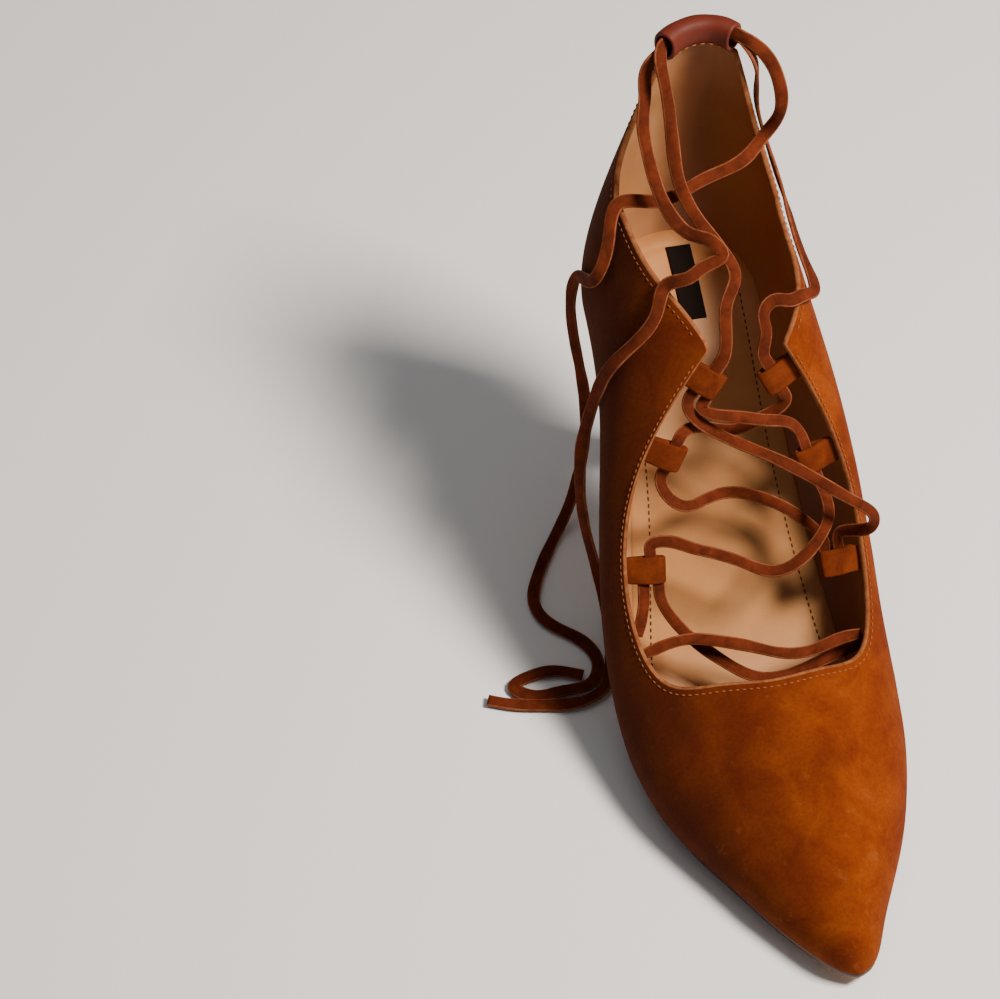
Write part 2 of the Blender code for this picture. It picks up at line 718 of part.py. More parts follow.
def lace_loop(name, side, rib, material):
    """Folded strip with an eye for the lace near its inner end."""
    root, reach, along, across = loop_frame(side, rib)
    upper_half = [(share * LOOP_LENGTH, half) for share, half in LOOP_SHAPE]
    outline = upper_half + [(LOOP_LENGTH, 0.0)] + [(a, -b) for a, b in reversed(upper_half)]
    centre = EYE_CENTRE * LOOP_LENGTH
    eye = []
    for a, b in outline:
        angle = math.atan2(b / EYE_HEIGHT, (a - centre) / EYE_LENGTH)
        eye.append((
            centre + EYE_LENGTH / 2 * math.cos(angle), EYE_HEIGHT / 2 * math.sin(angle)))
    n = len(outline)
    points = []
    for end in (-LOOP_WIDTH / 2, LOOP_WIDTH / 2):
        for a, b in outline + eye:
            points.append(root + reach * a + across * b + along * end)
    faces = []
    for i in range(n):
        j = (i + 1) % n
        faces.append((i, j, j + 2 * n, i + 2 * n))
        faces.append((j + n, i + n, i + 3 * n, j + 3 * n))
        for start in (0, 2 * n):
            faces.append((start + i, start + j, start + j + n, start + i + n))
    return finish(name, points, faces, material)


def smooth_path(route, spacing):
    """Evenly spaced points of a smooth curve through route points."""
    route = np.array(route)
    reach = np.concatenate([[0.0], np.cumsum(np.linalg.norm(np.diff(route, axis=0), axis=1))])
    columns = [spline([(r, p[i]) for r, p in zip(reach, route)], 1) for i in range(3)]
    count = max(int(round(reach[-1] / spacing)), 3)
    places = [reach[-1] * i / count for i in range(count + 1)]
    return np.array([[column(place) for column in columns] for place in places])


def lace_crossing(name, route, material):
    """Flat lace along a smooth path, with cut corners and closed ends."""
    path = smooth_path(route, LACE_STEP)
    tangents = np.gradient(path, axis=0)
    half, thin = LACE_WIDTH / 2, LACE_THICKNESS / 2
    cut = thin / 2
    section = (
        (half, -cut), (half, cut), (half - cut, thin), (cut - half, thin),
        (-half, cut), (-half, -cut), (cut - half, -thin), (half - cut, -thin))
    points = []
    face = np.array(LACE_FACE)
    for point, tangent in zip(path, tangents):
        across = unit(np.cross(tangent, face))
        face = unit(np.cross(across, tangent))
        points.extend(point + across * a + face * b for a, b in section)
    n = len(section)
    faces = []
    for k in range(len(path) - 1):
        for i in range(n):
            j = (i + 1) % n
            faces.append((k * n + i, k * n + j, (k + 1) * n + j, (k + 1) * n + i))
    faces.append(tuple(range(n)))
    faces.append(tuple(range(len(points) - n, len(points))))
    return finish(name, points, faces, material)


def lace_end(name, route, material):
    """Round cord along a smooth path."""
    path = smooth_path(route, CORD_SPACING)
    curve = bpy.data.curves.new(name, "CURVE")
    curve.dimensions = "3D"
    curve.bevel_depth = CORD_DIAMETER / 2
    curve.bevel_resolution = 2
    curve.use_fill_caps = True
    line = curve.splines.new("POLY")
    line.points.add(len(path) - 1)
    for place, point in zip(line.points, path):
        place.co = (*point, 1.0)
    curve.materials.append(material)
    node = bpy.data.objects.new(name, curve)
    bpy.context.scene.collection.objects.link(node)
    return node


def principled(name, colour, roughness):
    """Plain Principled material."""
    material = bpy.data.materials.new(name)
    material.use_nodes = True
    shader = material.node_tree.nodes["Principled BSDF"]
    shader.inputs["Base Color"].default_value = (*colour, 1.0)
    shader.inputs["Roughness"].default_value = roughness
    return material


def centre_on_floor(nodes):
    """Move the shoe so that the middle of its box is over the origin."""
    corners = np.array([node.matrix_world @ Vector(c) for node in nodes for c in node.bound_box])
    middle = (corners.min(axis=0) + corners.max(axis=0)) / 2
    for node in nodes:
        node.location = (-middle[0], -middle[1], 0.0)


def build():
    """Build every piece."""
    for item in list(bpy.data.objects):
        bpy.data.objects.remove(item, do_unlink=True)
    suede = principled("upper_suede", (0.33, 0.10, 0.02), 0.9)
    lining = principled("insole_leather", (0.52, 0.27, 0.10), 0.6)
    sole = principled("outsole_leather", (0.30, 0.16, 0.08), 0.5)
    rubber = principled("tip_rubber", (0.03, 0.02, 0.02), 0.6)
    lace = principled("lace_suede", (0.20, 0.06, 0.015), 0.85)
    nodes = [upper(suede), outsole(sole), insole(lining), heel(suede), heel_tip(rubber)]
    nodes.append(back_tunnel(suede))
    nodes.extend(lace_loop(name, side, rib, suede) for name, side, rib in LOOPS)
    nodes.extend(lace_crossing(name, route, lace) for name, route in CROSSINGS.items())
    centre_on_floor(nodes)
    for name, route in CORD_ENDS.items():
        lace_end(name, route, lace).location = nodes[0].location


build()
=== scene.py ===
"""Looks of the lace-up heeled pump, right shoe. Metres, +Z up, toe to -Y, inner side to +X."""
import math
from functools import lru_cache

import bmesh
import bpy
import numpy as np
from mathutils import Matrix, Vector


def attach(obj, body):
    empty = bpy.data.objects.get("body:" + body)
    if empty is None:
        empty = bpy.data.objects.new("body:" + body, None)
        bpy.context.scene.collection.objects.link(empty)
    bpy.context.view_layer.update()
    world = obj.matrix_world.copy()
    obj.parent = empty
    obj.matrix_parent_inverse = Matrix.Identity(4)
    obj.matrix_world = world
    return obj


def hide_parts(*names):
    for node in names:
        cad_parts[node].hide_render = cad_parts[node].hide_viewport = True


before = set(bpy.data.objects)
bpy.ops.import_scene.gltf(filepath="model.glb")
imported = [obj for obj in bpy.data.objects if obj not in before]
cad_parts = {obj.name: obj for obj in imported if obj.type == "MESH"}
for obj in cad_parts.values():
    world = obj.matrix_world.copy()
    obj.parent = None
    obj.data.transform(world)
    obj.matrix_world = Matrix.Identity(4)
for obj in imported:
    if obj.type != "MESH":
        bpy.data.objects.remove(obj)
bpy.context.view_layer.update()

# Sizes of the shoe. SOLE_MARGIN is how far the sole's edge stands out past the bottom corner
# of the upper, here a little inside it. GAP is the clearance of pieces that meet.
LENGTH = 0.230
BALL_WIDTH = 0.086
HEEL_HEIGHT = 0.094
WALL = 0.0018
GAP = 0.0003
SOLE_THICKNESS = 0.0025
SOLE_MARGIN = -0.0003
SOLE_BEVEL = 0.0008
INSOLE_THICKNESS = 0.0016
HEEL_SEAT_GAP = 0.0004
TIP_THICKNESS = 0.0060

# Sections of the last. step 0 is the tip of the toe, step 1 the centre of the heel seat, and
# the last row the middle of the back, where the sections have turned round that centre.
# along: share of LENGTH from the tip. rise: share of HEEL_HEIGHT of the bottom line.
# middle: offset of the centre line to the inner side, lateral and medial: half widths of the
# bottom outline, ridge: height of the closed top of the section, all as shares of BALL_WIDTH.
BACK_REACH = 0.12
LAST = (
    # step, along, rise, middle, lateral, medial, ridge
    (0.00, 0.000, 0.050, 0.110, 0.000, 0.000, 0.000),
    (0.10, 0.014, 0.046, 0.109, 0.065, 0.068, 0.105),
    (0.20, 0.050, 0.034, 0.104, 0.138, 0.118, 0.175),
    (0.30, 0.105, 0.018, 0.090, 0.220, 0.190, 0.245),
    (0.40, 0.180, 0.006, 0.068, 0.312, 0.300, 0.320),
    (0.50, 0.270, -0.004, 0.040, 0.410, 0.395, 0.405),
    (0.60, 0.370, 0.004, 0.016, 0.440, 0.440, 0.510),
    (0.70, 0.475, 0.105, 0.002, 0.420, 0.403, 0.625),
    (0.80, 0.590, 0.360, 0.000, 0.370, 0.335, 0.735),
    (0.90, 0.710, 0.670, -0.004, 0.330, 0.288, 0.870),
    (1.00, 0.861, 0.915, -0.026, 0.330, 0.302, 1.250),
    (1.00 + BACK_REACH, 0.861, 0.980, -0.026, 0.340, 0.340, 1.700),
)
# Shape of a half section between its bottom corner and its ridge, as four inner handles.
# swell: how far the wall stands out past the bottom corner, share of BALL_WIDTH.
# low, high: heights of the first two handles, shares of the ridge height.
# full, crown: how far out the second and third handle lie, shares of the half width.
# lean: shift to the inner side per unit of height.
SHAPE = (
    # step, swell, low, high, full, crown, lean
    (0.00, 0.010, 0.25, 0.78, 0.98, 0.52, 0.00),
    (0.30, 0.045, 0.25, 0.76, 0.96, 0.50, 0.00),
    (0.50, 0.090, 0.25, 0.74, 0.95, 0.50, 0.00),
    (0.60, 0.130, 0.25, 0.72, 0.95, 0.52, 0.00),
    (0.70, 0.180, 0.24, 0.72, 0.98, 0.54, 0.03),
    (0.80, 0.215, 0.22, 0.72, 1.02, 0.58, 0.06),
    (0.90, 0.190, 0.21, 0.66, 0.88, 0.55, 0.06),
    (1.00, 0.175, 0.18, 0.55, 0.33, 0.07, 0.05),
    (1.00 + BACK_REACH, 0.110, 0.20, 0.55, 0.82, 0.62, 0.085),
)

# Edge of the opening. rib 0 is the front of the throat, rib 1 the upper corner of the quarter
# and rib 2 the middle of the back. base and top: step of the section at the bottom corner and
# at the edge, where steps from 1 to 2 turn round the heel.
# lateral, medial: how far the edge lies up the section on either side, 1 is the ridge.
# The first row mirrors the third, for a smooth front of the throat.
THROAT = (
    # rib, base, top, lateral, medial
    (-0.20, -0.330, 0.602, 1.200, 1.200),
    (0.00, 0.000, 0.592, 1.000, 1.000),
    (0.20, 0.330, 0.602, 0.800, 0.800),
    (0.40, 0.540, 0.630, 0.610, 0.610),
    (0.60, 0.680, 0.715, 0.510, 0.510),
    (0.80, 0.780, 0.800, 0.560, 0.580),
    (1.00, 0.870, 0.865, 0.860, 0.800),
)
# The same for the collar, but lateral and medial are the height of the edge above the bottom
# corner, share of BALL_WIDTH.
COLLAR = (
    # rib, base, top, lateral, medial
    (1.00, 0.870, 0.865, 0.776, 0.748),
    (1.10, 0.910, 0.910, 0.760, 0.685),
    (1.20, 0.960, 0.970, 0.645, 0.565),
    (1.40, 1.130, 1.130, 0.610, 0.520),
    (1.60, 1.400, 1.400, 0.690, 0.660),
    (1.78, 1.680, 1.680, 0.955, 0.945),
    (2.00, 2.000, 2.000, 1.200, 1.200),
)

# Heel from the seat down to the top piece, about the centre of the heel seat.
# level: share of the way down. width: half width. back, front: reach behind and before the
# axis. shift: place of the axis behind the centre of the seat. In metres.
HEEL = (
    # level, width, back, front, shift
    (0.00, 0.0255, 0.0260, 0.0170, 0.0000),
    (0.10, 0.0220, 0.0235, 0.0145, 0.0005),
    (0.25, 0.0155, 0.0180, 0.0110, 0.0030),
    (0.45, 0.0100, 0.0115, 0.0080, 0.0070),
    (0.70, 0.0068, 0.0072, 0.0058, 0.0095),
    (1.00, 0.0056, 0.0058, 0.0048, 0.0105),
)
# Greatest height of the upper's edge above the bottom corner, share of BALL_WIDTH.
BACK_TOP = 0.955

# Tunnel for the laces along the top of the back. TUNNEL_END: rib where it starts and ends.
TUNNEL_END = 1.72
TUNNEL_HEIGHT = 0.0098
TUNNEL_DEPTH = 0.0076
TUNNEL_WALL = 0.0012
TUNNEL_GAP = 0.0002

# Lace loops at the edge of the throat, the first pair uppermost. side: -1 outer, 1 inner.
# rib: place along the edge.
LOOPS = (
    # name, side, rib
    ("loop_outer_1", -1.0, 0.975),
    ("loop_outer_2", -1.0, 0.870),
    ("loop_outer_3", -1.0, 0.685),
    ("loop_inner_1", 1.0, 0.970),
    ("loop_inner_2", 1.0, 0.825),
    ("loop_inner_3", 1.0, 0.645),
)
LOOP_WIDTH = 0.0085
LOOP_LENGTH = 0.0125
# How far the root lies below the edge, inside the wall, and its clearance to that wall.
LOOP_TUCK = 0.0030
LOOP_GAP = 0.0007
# Tilt of the loop away from the wall's own slope, towards the inside.
LOOP_RISE = 0.15
LOOP_SHAPE = (
    # along as a share of the length, half thickness in metres
    (0.00, 0.0011),
    (0.25, 0.0014),
    (0.48, 0.0021),
    (0.74, 0.0021),
    (0.92, 0.0013),
)
EYE_CENTRE = 0.66
EYE_LENGTH = 0.0058
EYE_HEIGHT = 0.0022

# Direction that the face of each crossing looks in.
LACE_FACE = (0.0, -0.55, 0.83)
# Crossings of the lace between the loops, as points that each smooth path goes through.
CROSSINGS = {
    # x, y, z in mm
    "lace_1": (
        (-7.1, 33.8, 104.7), (-8.3, 33.2, 103.2), (3.2, 28.8, 99.8), (11.3, 28.2, 97.2),
        (18.5, 28.3, 94.1), (22.6, 26.2, 87.8), (23.1, 25.4, 86.1)),
    "lace_2": (
        (16.9, 34.1, 103.2), (17.8, 33.3, 101.6), (9.7, 32.9, 92.6), (2.9, 33.7, 88.4),
        (-6.3, 34.0, 91.2), (-15.5, 29.6, 94.2), (-16.4, 29.0, 92.6)),
    "lace_3": (
        (-10.9, 35.3, 107.1), (-12.1, 34.6, 105.6), (-3.0, 28.5, 93.0), (8.5, 21.2, 90.5),
        (21.5, 12.5, 86.8), (29.8, 6.1, 83.9), (35.4, 2.8, 81.2), (39.0, 1.7, 77.3),
        (38.6, 2.4, 69.6), (31.0, 8.4, 58.8), (31.1, 7.1, 57.3)),
    "lace_4": (
        (-21.2, 25.4, 84.2), (-22.1, 24.8, 82.5), (-15.7, 19.7, 72.3), (-8.8, 22.0, 70.7),
        (0.0, 24.1, 69.9), (9.3, 22.5, 67.2), (18.3, 19.0, 62.9), (24.3, 13.8, 59.8),
        (26.6, 8.0, 59.0), (26.6, 6.7, 57.5)),
    "lace_5": (
        (26.0, 20.9, 77.3), (26.6, 20.0, 75.6), (27.5, 8.9, 71.2), (22.7, 2.7, 67.1),
        (16.4, 0.0, 61.6), (9.1, 0.1, 58.3), (0.4, 3.7, 59.9), (-7.4, 7.3, 61.8),
        (-15.6, 10.5, 63.3), (-22.0, 13.1, 64.5), (-27.7, 12.8, 63.5), (-27.8, 11.5, 62.0)),
    "lace_6": (
        (-26.3, 4.7, 54.0), (-26.4, 3.5, 52.4), (-23.1, -1.2, 44.1), (-16.8, -5.5, 36.5),
        (-7.9, -11.3, 30.4), (0.8, -15.8, 26.7), (11.9, -16.8, 26.1), (21.3, -15.0, 27.6),
        (30.5, -13.5, 30.0), (36.3, -15.4, 36.0)),
    "lace_7": (
        (-34.1, -10.8, 40.7), (-19.0, -8.3, 41.5), (-9.8, -10.0, 40.3), (0.8, -12.9, 38.1),
        (9.9, -15.5, 36.1), (19.4, -15.8, 36.1), (27.1, -14.3, 37.3), (34.7, -14.3, 38.6)),
    "lace_8": (
        (-31.0, 5.4, 54.0), (-31.1, 4.1, 52.5), (-35.0, -5.9, 43.8)),
}

# Free ends of the lace, as round cords in the tunnel and down to the floor.
CORD_ENDS = {
    # x, y, z in mm
    "lace_end_1": (
        (-3.0, 38.0, 113.8), (-1.6, 38.7, 115.5), (2.1, 50.2, 128.4), (6.2, 57.7, 131.4),
        (3.9, 65.6, 135.0), (-1.9, 72.7, 141.9), (-6.6, 79.6, 151.4), (-7.8, 85.5, 161.9),
        (-8.2, 90.8, 171.8), (-9.0, 95.5, 179.7), (-8.6, 102.6, 182.9), (-7.3, 105.7, 184.2),
        (-6.1, 107.0, 184.3), (-4.1, 108.6, 184.5), (-1.9, 109.9, 184.7), (0.4, 110.9, 184.8),
        (2.7, 111.4, 184.8), (5.1, 111.6, 184.9), (7.5, 111.4, 184.8), (9.7, 110.8, 184.8),
        (11.7, 109.8, 184.6), (13.5, 108.5, 184.5), (15.1, 106.9, 184.3), (16.3, 105.6, 184.1),
        (18.5, 103.3, 183.8), (22.8, 101.0, 180.1), (27.2, 97.7, 170.9), (27.9, 95.2, 161.5),
        (23.7, 96.5, 149.5), (16.1, 89.6, 148.0), (1.5, 84.2, 146.8), (-13.8, 80.4, 144.6),
        (-24.7, 81.7, 144.5), (-29.2, 74.7, 135.7), (-33.4, 70.7, 125.8), (-35.7, 85.8, 110.0),
        (-36.5, 91.4, 94.0), (-35.4, 90.2, 76.0), (-32.9, 88.3, 58.0), (-31.7, 85.8, 38.0),
        (-34.0, 82.6, 19.0), (-39.2, 76.1, 7.0), (-42.7, 72.2, 3.0), (-47.4, 65.6, 1.7),
        (-54.3, 53.4, 1.6), (-57.2, 42.3, 1.6), (-54.4, 35.1, 1.6), (-46.1, 26.9, 1.6),
        (-41.8, 16.3, 1.6), (-45.3, 9.0, 1.6), (-55.5, 7.4, 1.6), (-65.9, 7.8, 1.6),
        (-70.3, 11.9, 1.6), (-64.4, 15.1, 1.6), (-55.8, 15.5, 1.6), (-47.6, 12.2, 1.6)),
    "lace_end_2": (
        (12.8, 38.2, 112.0), (11.8, 39.0, 113.8), (12.8, 42.7, 121.1), (12.6, 46.2, 126.4),
        (16.3, 47.8, 129.3), (21.0, 47.0, 129.1), (24.4, 48.3, 128.8), (29.3, 51.6, 126.1),
        (30.4, 65.0, 125.3), (29.8, 83.0, 127.9), (29.8, 88.0, 128.6), (28.1, 94.3, 134.8),
        (25.4, 99.9, 144.7), (22.6, 103.7, 157.8), (18.0, 103.8, 180.5), (16.3, 105.6, 181.5),
        (15.1, 106.9, 181.7), (13.5, 108.5, 181.9), (11.7, 109.8, 182.0), (9.7, 110.8, 182.2),
        (7.5, 111.4, 182.2), (5.1, 111.6, 182.3), (2.7, 111.4, 182.2), (0.4, 110.9, 182.2),
        (-1.9, 109.9, 182.1), (-4.1, 108.6, 181.9), (-6.1, 107.0, 181.7), (-7.5, 105.9, 181.6),
        (-10.1, 103.7, 181.4), (-12.5, 102.5, 178.7), (-14.3, 96.8, 173.7), (-15.8, 91.8, 168.1),
        (-15.6, 86.2, 161.0), (-14.2, 78.7, 153.8), (-12.1, 71.5, 149.5), (-7.1, 62.2, 147.8),
        (-1.2, 55.3, 149.5), (0.4, 52.7, 147.6), (-4.9, 51.7, 144.6), (-10.6, 50.0, 142.3),
        (-16.6, 52.3, 137.8), (-20.1, 47.8, 131.8), (-24.7, 45.3, 125.3), (-32.3, 45.1, 115.9),
        (-38.2, 48.8, 94.0), (-41.4, 48.4, 76.0), (-42.3, 47.1, 59.0), (-41.3, 44.1, 41.0),
        (-38.2, 41.2, 23.0), (-35.7, 37.4, 9.0), (-35.1, 32.0, 4.0), (-35.3, 26.2, 2.0),
        (-37.5, 16.3, 1.6), (-42.0, 5.9, 1.6), (-50.7, 2.1, 1.6), (-62.0, 3.1, 1.6),
        (-72.2, 5.5, 1.6), (-79.5, 8.5, 1.6)),
}


def spline(table, column):
    """Natural cubic through one column of a table, against its first column."""
    xs = np.array([row[0] for row in table])
    ys = np.array([row[column] for row in table])
    n = len(xs)
    step = np.diff(xs)
    slope = np.diff(ys) / step
    lhs = np.eye(n)
    rhs = np.zeros(n)
    for i in range(1, n - 1):
        lhs[i, i - 1] = step[i - 1]
        lhs[i, i] = 2 * (step[i - 1] + step[i])
        lhs[i, i + 1] = step[i]
        rhs[i] = 3 * (slope[i] - slope[i - 1])
    c = np.linalg.solve(lhs, rhs)
    b = slope - step * (2 * c[:-1] + c[1:]) / 3
    d = np.diff(c) / (3 * step)

    def value(x):
        i = min(max(int(np.searchsorted(xs, x)) - 1, 0), n - 2)
        t = x - xs[i]
        return float(ys[i] + t * (b[i] + t * (c[i] + t * d[i])))
    return value


ALONG, MIDDLE = (spline(LAST[:-1], i) for i in (1, 3))
LATERAL, MEDIAL, RIDGE = (spline(LAST, i) for i in (4, 5, 6))
SWELL, LOW, HIGH, FULL, CROWN, LEAN = (spline(SHAPE, i) for i in range(1, 7))
BOTTOM_LINE = spline([(row[1], row[2]) for row in LAST[:-1]] + [(1.0, 1.0)], 1)
THROAT_EDGE = [spline(THROAT, i) for i in range(1, 5)]
COLLAR_EDGE = [spline(COLLAR, i) for i in range(1, 5)]


def floor_height(y):
    """Height of the bottom corner of the upper at a length position."""
    share = (y + LENGTH / 2) / LENGTH
    rise = max(BOTTOM_LINE(min(max(share, 0.0), 1.0)), 0.0)
    return SOLE_THICKNESS + GAP + HEEL_HEIGHT * rise


def bezier(t, handles):
    """Point on a curve of the fourth degree."""
    r = 1 - t
    w = (r ** 4, 4 * t * r ** 3, 6 * t * t * r * r, 4 * t ** 3 * r, t ** 4)
    return sum(a * b for a, b in zip(w, handles))


def reach_of(step):
    """Place of a step in the tables: the turn round the heel takes BACK_REACH."""
    share = max(step - 1.0, 0.0)
    return min(step, 1.0) + BACK_REACH * (share + share ** 2 - share ** 3)


def half_section(side, step):
    """Handles of a half section outwards and upwards, in shares of BALL_WIDTH."""
    reach = reach_of(step)
    width = LATERAL(reach) if side < 0 else MEDIAL(reach)
    ridge = RIDGE(reach)
    swell = SWELL(reach) * min(1.0, reach / 0.3)
    outs = (width, width + swell, width * FULL(reach) + swell, width * CROWN(reach), 0.0)
    ups = (0.0, ridge * LOW(reach), ridge * HIGH(reach), ridge, ridge)
    return outs, ups


def last_point(side, step, turn):
    """Point of the outer surface: step along the last, turn from bottom corner to ridge."""
    outs, ups = half_section(side, step)
    near = min(step, 1.0)
    angle = max(step - 1.0, 0.0) * math.pi / 2
    out = bezier(turn, outs) * BALL_WIDTH
    up = bezier(turn, ups) * BALL_WIDTH
    x = MIDDLE(near) * BALL_WIDTH + side * out * math.cos(angle) + LEAN(reach_of(step)) * up
    centre_y = ALONG(near) * LENGTH - LENGTH / 2
    foot_y = centre_y + outs[0] * BALL_WIDTH * math.sin(angle)
    return np.array((x, centre_y + out * math.sin(angle), floor_height(foot_y) + up))


def turn_at(side, step, height):
    """Turn at which a half section reaches a height."""
    ups = half_section(side, step)[1]
    low, high = 0.0, 1.0
    for _ in range(30):
        middle = (low + high) / 2
        if bezier(middle, ups) < height:
            low = middle
        else:
            high = middle
    return low


@lru_cache(maxsize=None)
def edge_of(side, rib):
    """Base step, top step and turn of the edge of the opening."""
    own = 2 if side < 0 else 3
    if rib <= 1.0:
        base, top, turn = (THROAT_EDGE[i](rib) for i in (0, 1, own))
        return max(base, 0.0), top, min(turn, 1.0)
    base, top, height = (COLLAR_EDGE[i](rib) for i in (0, 1, own))
    return base, top, turn_at(side, top, min(height, BACK_TOP))


def rib_point(side, rib, climb):
    """Point of the upper: rib 0 to 2 from throat to back, climb 0 to 1 from sole to edge."""
    base, top, turn = edge_of(side, rib)
    quarter = math.pi / 2
    across = (1 - climb) * base + climb * top * math.cos(turn * quarter)
    upward = climb * top * math.sin(turn * quarter)
    flat_step = math.hypot(across, upward)
    flat_turn = math.atan2(upward, across) / quarter if flat_step > 0 else 0.0
    blend = min(max((rib - 0.1) / 0.8, 0.0), 1.0)
    blend = blend * blend * (3 - 2 * blend)
    step = flat_step + (base + (top - base) * climb - flat_step) * blend
    turned = flat_turn + (turn * climb - flat_turn) * blend
    return last_point(side, step, turned)


def loop_of(ribs_per_side):
    """Ribs round the shoe as (side, rib): toe, inner side, back, outer side."""
    ribs = [2.0 * i / ribs_per_side for i in range(ribs_per_side + 1)]
    inner = [(1.0, r) for r in ribs]
    outer = [(-1.0, r) for r in reversed(ribs[1:-1])]
    return inner + outer


def grid_normals(grid):
    """Outward normals of a grid that is closed in its first direction."""
    along = np.roll(grid, -1, axis=0) - np.roll(grid, 1, axis=0)
    up = np.gradient(grid, axis=1)
    normal = np.cross(along, up)
    size = np.linalg.norm(normal, axis=2, keepdims=True)
    return normal / np.maximum(size, 1e-12)


def base_loop(ribs_per_side, shift):
    """Bottom corner of the upper all round, moved outwards by a distance."""
    loop = np.array([rib_point(side, rib, 0.0) for side, rib in loop_of(ribs_per_side)])
    along = np.roll(loop, -1, axis=0) - np.roll(loop, 1, axis=0)
    out = np.stack([along[:, 1], -along[:, 0]], axis=1)
    out /= np.linalg.norm(out, axis=1, keepdims=True)
    loop[:, :2] += out * shift
    for point in loop:
        point[2] = floor_height(point[1])
    return loop


def slope_at(y):
    """Slope of the bottom line."""
    step = 0.002
    return (floor_height(y + step) - floor_height(y - step)) / (2 * step)


def drop(loop, depth):
    """Loop moved square to the bottom line, down for a positive depth."""
    moved = loop.copy()
    for point, source in zip(moved, loop):
        slope = slope_at(source[1])
        size = math.hypot(1.0, slope)
        point[1] += slope / size * depth
        point[2] = source[2] - depth / size
    return moved


def ring_points(width, back, front, count):
    """Closed outline of the heel at one level: round at the back, flatter at the front."""
    points = []
    for i in range(count):
        angle = 2 * math.pi * i / count
        cosine, sine = math.cos(angle), math.sin(angle)
        reach = back if sine > 0 else front
        flat = abs(sine) ** 0.6 if sine < 0 else abs(sine)
        across = math.copysign(abs(cosine) ** (0.8 if sine < 0 else 1.0), cosine)
        points.append((width * across, math.copysign(reach * flat, sine)))
    return points


def seat_middle():
    """Sideways and lengthwise place of the middle of the heel seat."""
    sideways = MIDDLE(1.0) + (MEDIAL(1.0) - LATERAL(1.0)) / 2
    return sideways * BALL_WIDTH, ALONG(1.0) * LENGTH - LENGTH / 2


def unit(vector):
    """Vector of length 1."""
    return vector / np.linalg.norm(vector)


def loop_frame(side, rib):
    """Root of a lace loop, and its directions inwards, along the edge and across."""
    step = 0.01
    point = rib_point(side, rib, 1.0)
    up = unit(point - rib_point(side, rib, 1.0 - step))
    along = unit(rib_point(side, rib + step, 1.0) - rib_point(side, rib - step, 1.0))
    if rib + step > 1.0:
        along = unit(point - rib_point(side, rib - step, 1.0))
    out = unit(np.cross(along, up)) * side
    reach = np.array((-side, 0.0, LOOP_RISE))
    reach = unit(reach - along * reach.dot(along))
    across = np.cross(reach, along)
    tilt = LOOP_SHAPE[0][1] * abs(across.dot(out))
    root = point - up * LOOP_TUCK - out * (WALL + LOOP_GAP + tilt)
    return root, reach, along, across


def smooth_path(route, spacing):
    """Evenly spaced points of a smooth curve through route points."""
    route = np.array(route)
    reach = np.concatenate([[0.0], np.cumsum(np.linalg.norm(np.diff(route, axis=0), axis=1))])
    columns = [spline([(r, p[i]) for r, p in zip(reach, route)], 1) for i in range(3)]
    count = max(int(round(reach[-1] / spacing)), 3)
    places = [reach[-1] * i / count for i in range(count + 1)]
    return np.array([[column(place) for column in columns] for place in places])


# Sizes that only the looks have.
ROUND_STEPS = 5
CREASE_LIFT = 0.00035
SOLE_ROUND = 0.0004
# Stitches: how far the row lies below the edge, and how far it stands off the suede.
STITCH_INSET = 0.0017
STITCH_LIFT = 0.00012
STITCH_LENGTH = 0.0012
STITCH_PITCH = 0.0021
THREAD = 0.00021
STITCH_POINTS = 160
# Sock: its overlap with the wall, its rounded edge, and the groove that its stitches lie in.
SOCK_CLEARANCE = -0.0014
SOCK_ROUND = 0.0012
SOCK_INSET = 0.0065
GROOVE_DEPTH = 0.00028
GROOVE_WIDTH = 0.0009
SOCK_PITCH = 0.0022
SOCK_STITCH = 0.0014
SOCK_THREAD = 0.00024
SOCK_STITCHES_FROM = -0.40 * LENGTH
SOCK_STITCHES_TO = 0.41 * LENGTH
# Label on the seat: two corners in x and y, and its height over the sock and under its face.
LABEL = ((-0.0031, 0.0795), (0.0049, 0.1045))
LABEL_LIFT = 0.00025
LABEL_DEPTH = 0.0005
# Tunnel: rounding of its ends, and how square its section is, 1 for round.
TUNNEL_ROUND = 0.0004
TUNNEL_SQUARE = 0.85
TUNNEL_STITCH = (0.0024, 0.0015, 0.00026)
# Loop's rounded sides: distance from the side, share of the thickness there.
LOOP_ROUNDING = ((0.0, 0.35), (0.0003, 0.85), (0.0007, 1.0))
LOOP_BULGE = 1.02
LOOP_BOW = 0.00035
TIP_ROUND = 0.0004
RIBBON_THICKNESS = 0.0012
# How far a crossing runs on into a loop's eye, and a free end into its loop.
EYE_REACH = 0.0040
END_REACH = 0.0030
# From the frame of the tables above to the part's own frame.
CENTRE_SHIFT = np.array((-0.000393, -0.000759, 0.0))

# Soft creases of the upper. Each runs straight over the last in plan, between two points.
CREASES = (
    # x0, y0, x1, y1 in mm, width in mm, height in units of CREASE_LIFT, low for a trough
    (-30, -36, -6, -42, 3.2, -0.9),
    (-34, -30, -12, -33, 2.4, 0.7),
    (8, -44, 34, -33, 3.6, -1.0),
    (14, -36, 40, -24, 2.8, 0.8),
    (-20, -62, 12, -66, 6.0, 0.7),
    (-10, -52, 22, -54, 4.5, -0.7),
    (-38, -12, -30, 6, 3.5, -0.8),
    (32, -10, 40, -20, 3.2, -0.9),
    (28, 30, 40, 16, 4.0, -0.9),
    (-36, 22, -26, 40, 4.0, -0.8),
    (-4, -92, 14, -86, 5.0, -0.5),
    (24, 60, 36, 78, 5.0, 0.7),
    (-34, 62, -26, 82, 5.0, 0.7),
)


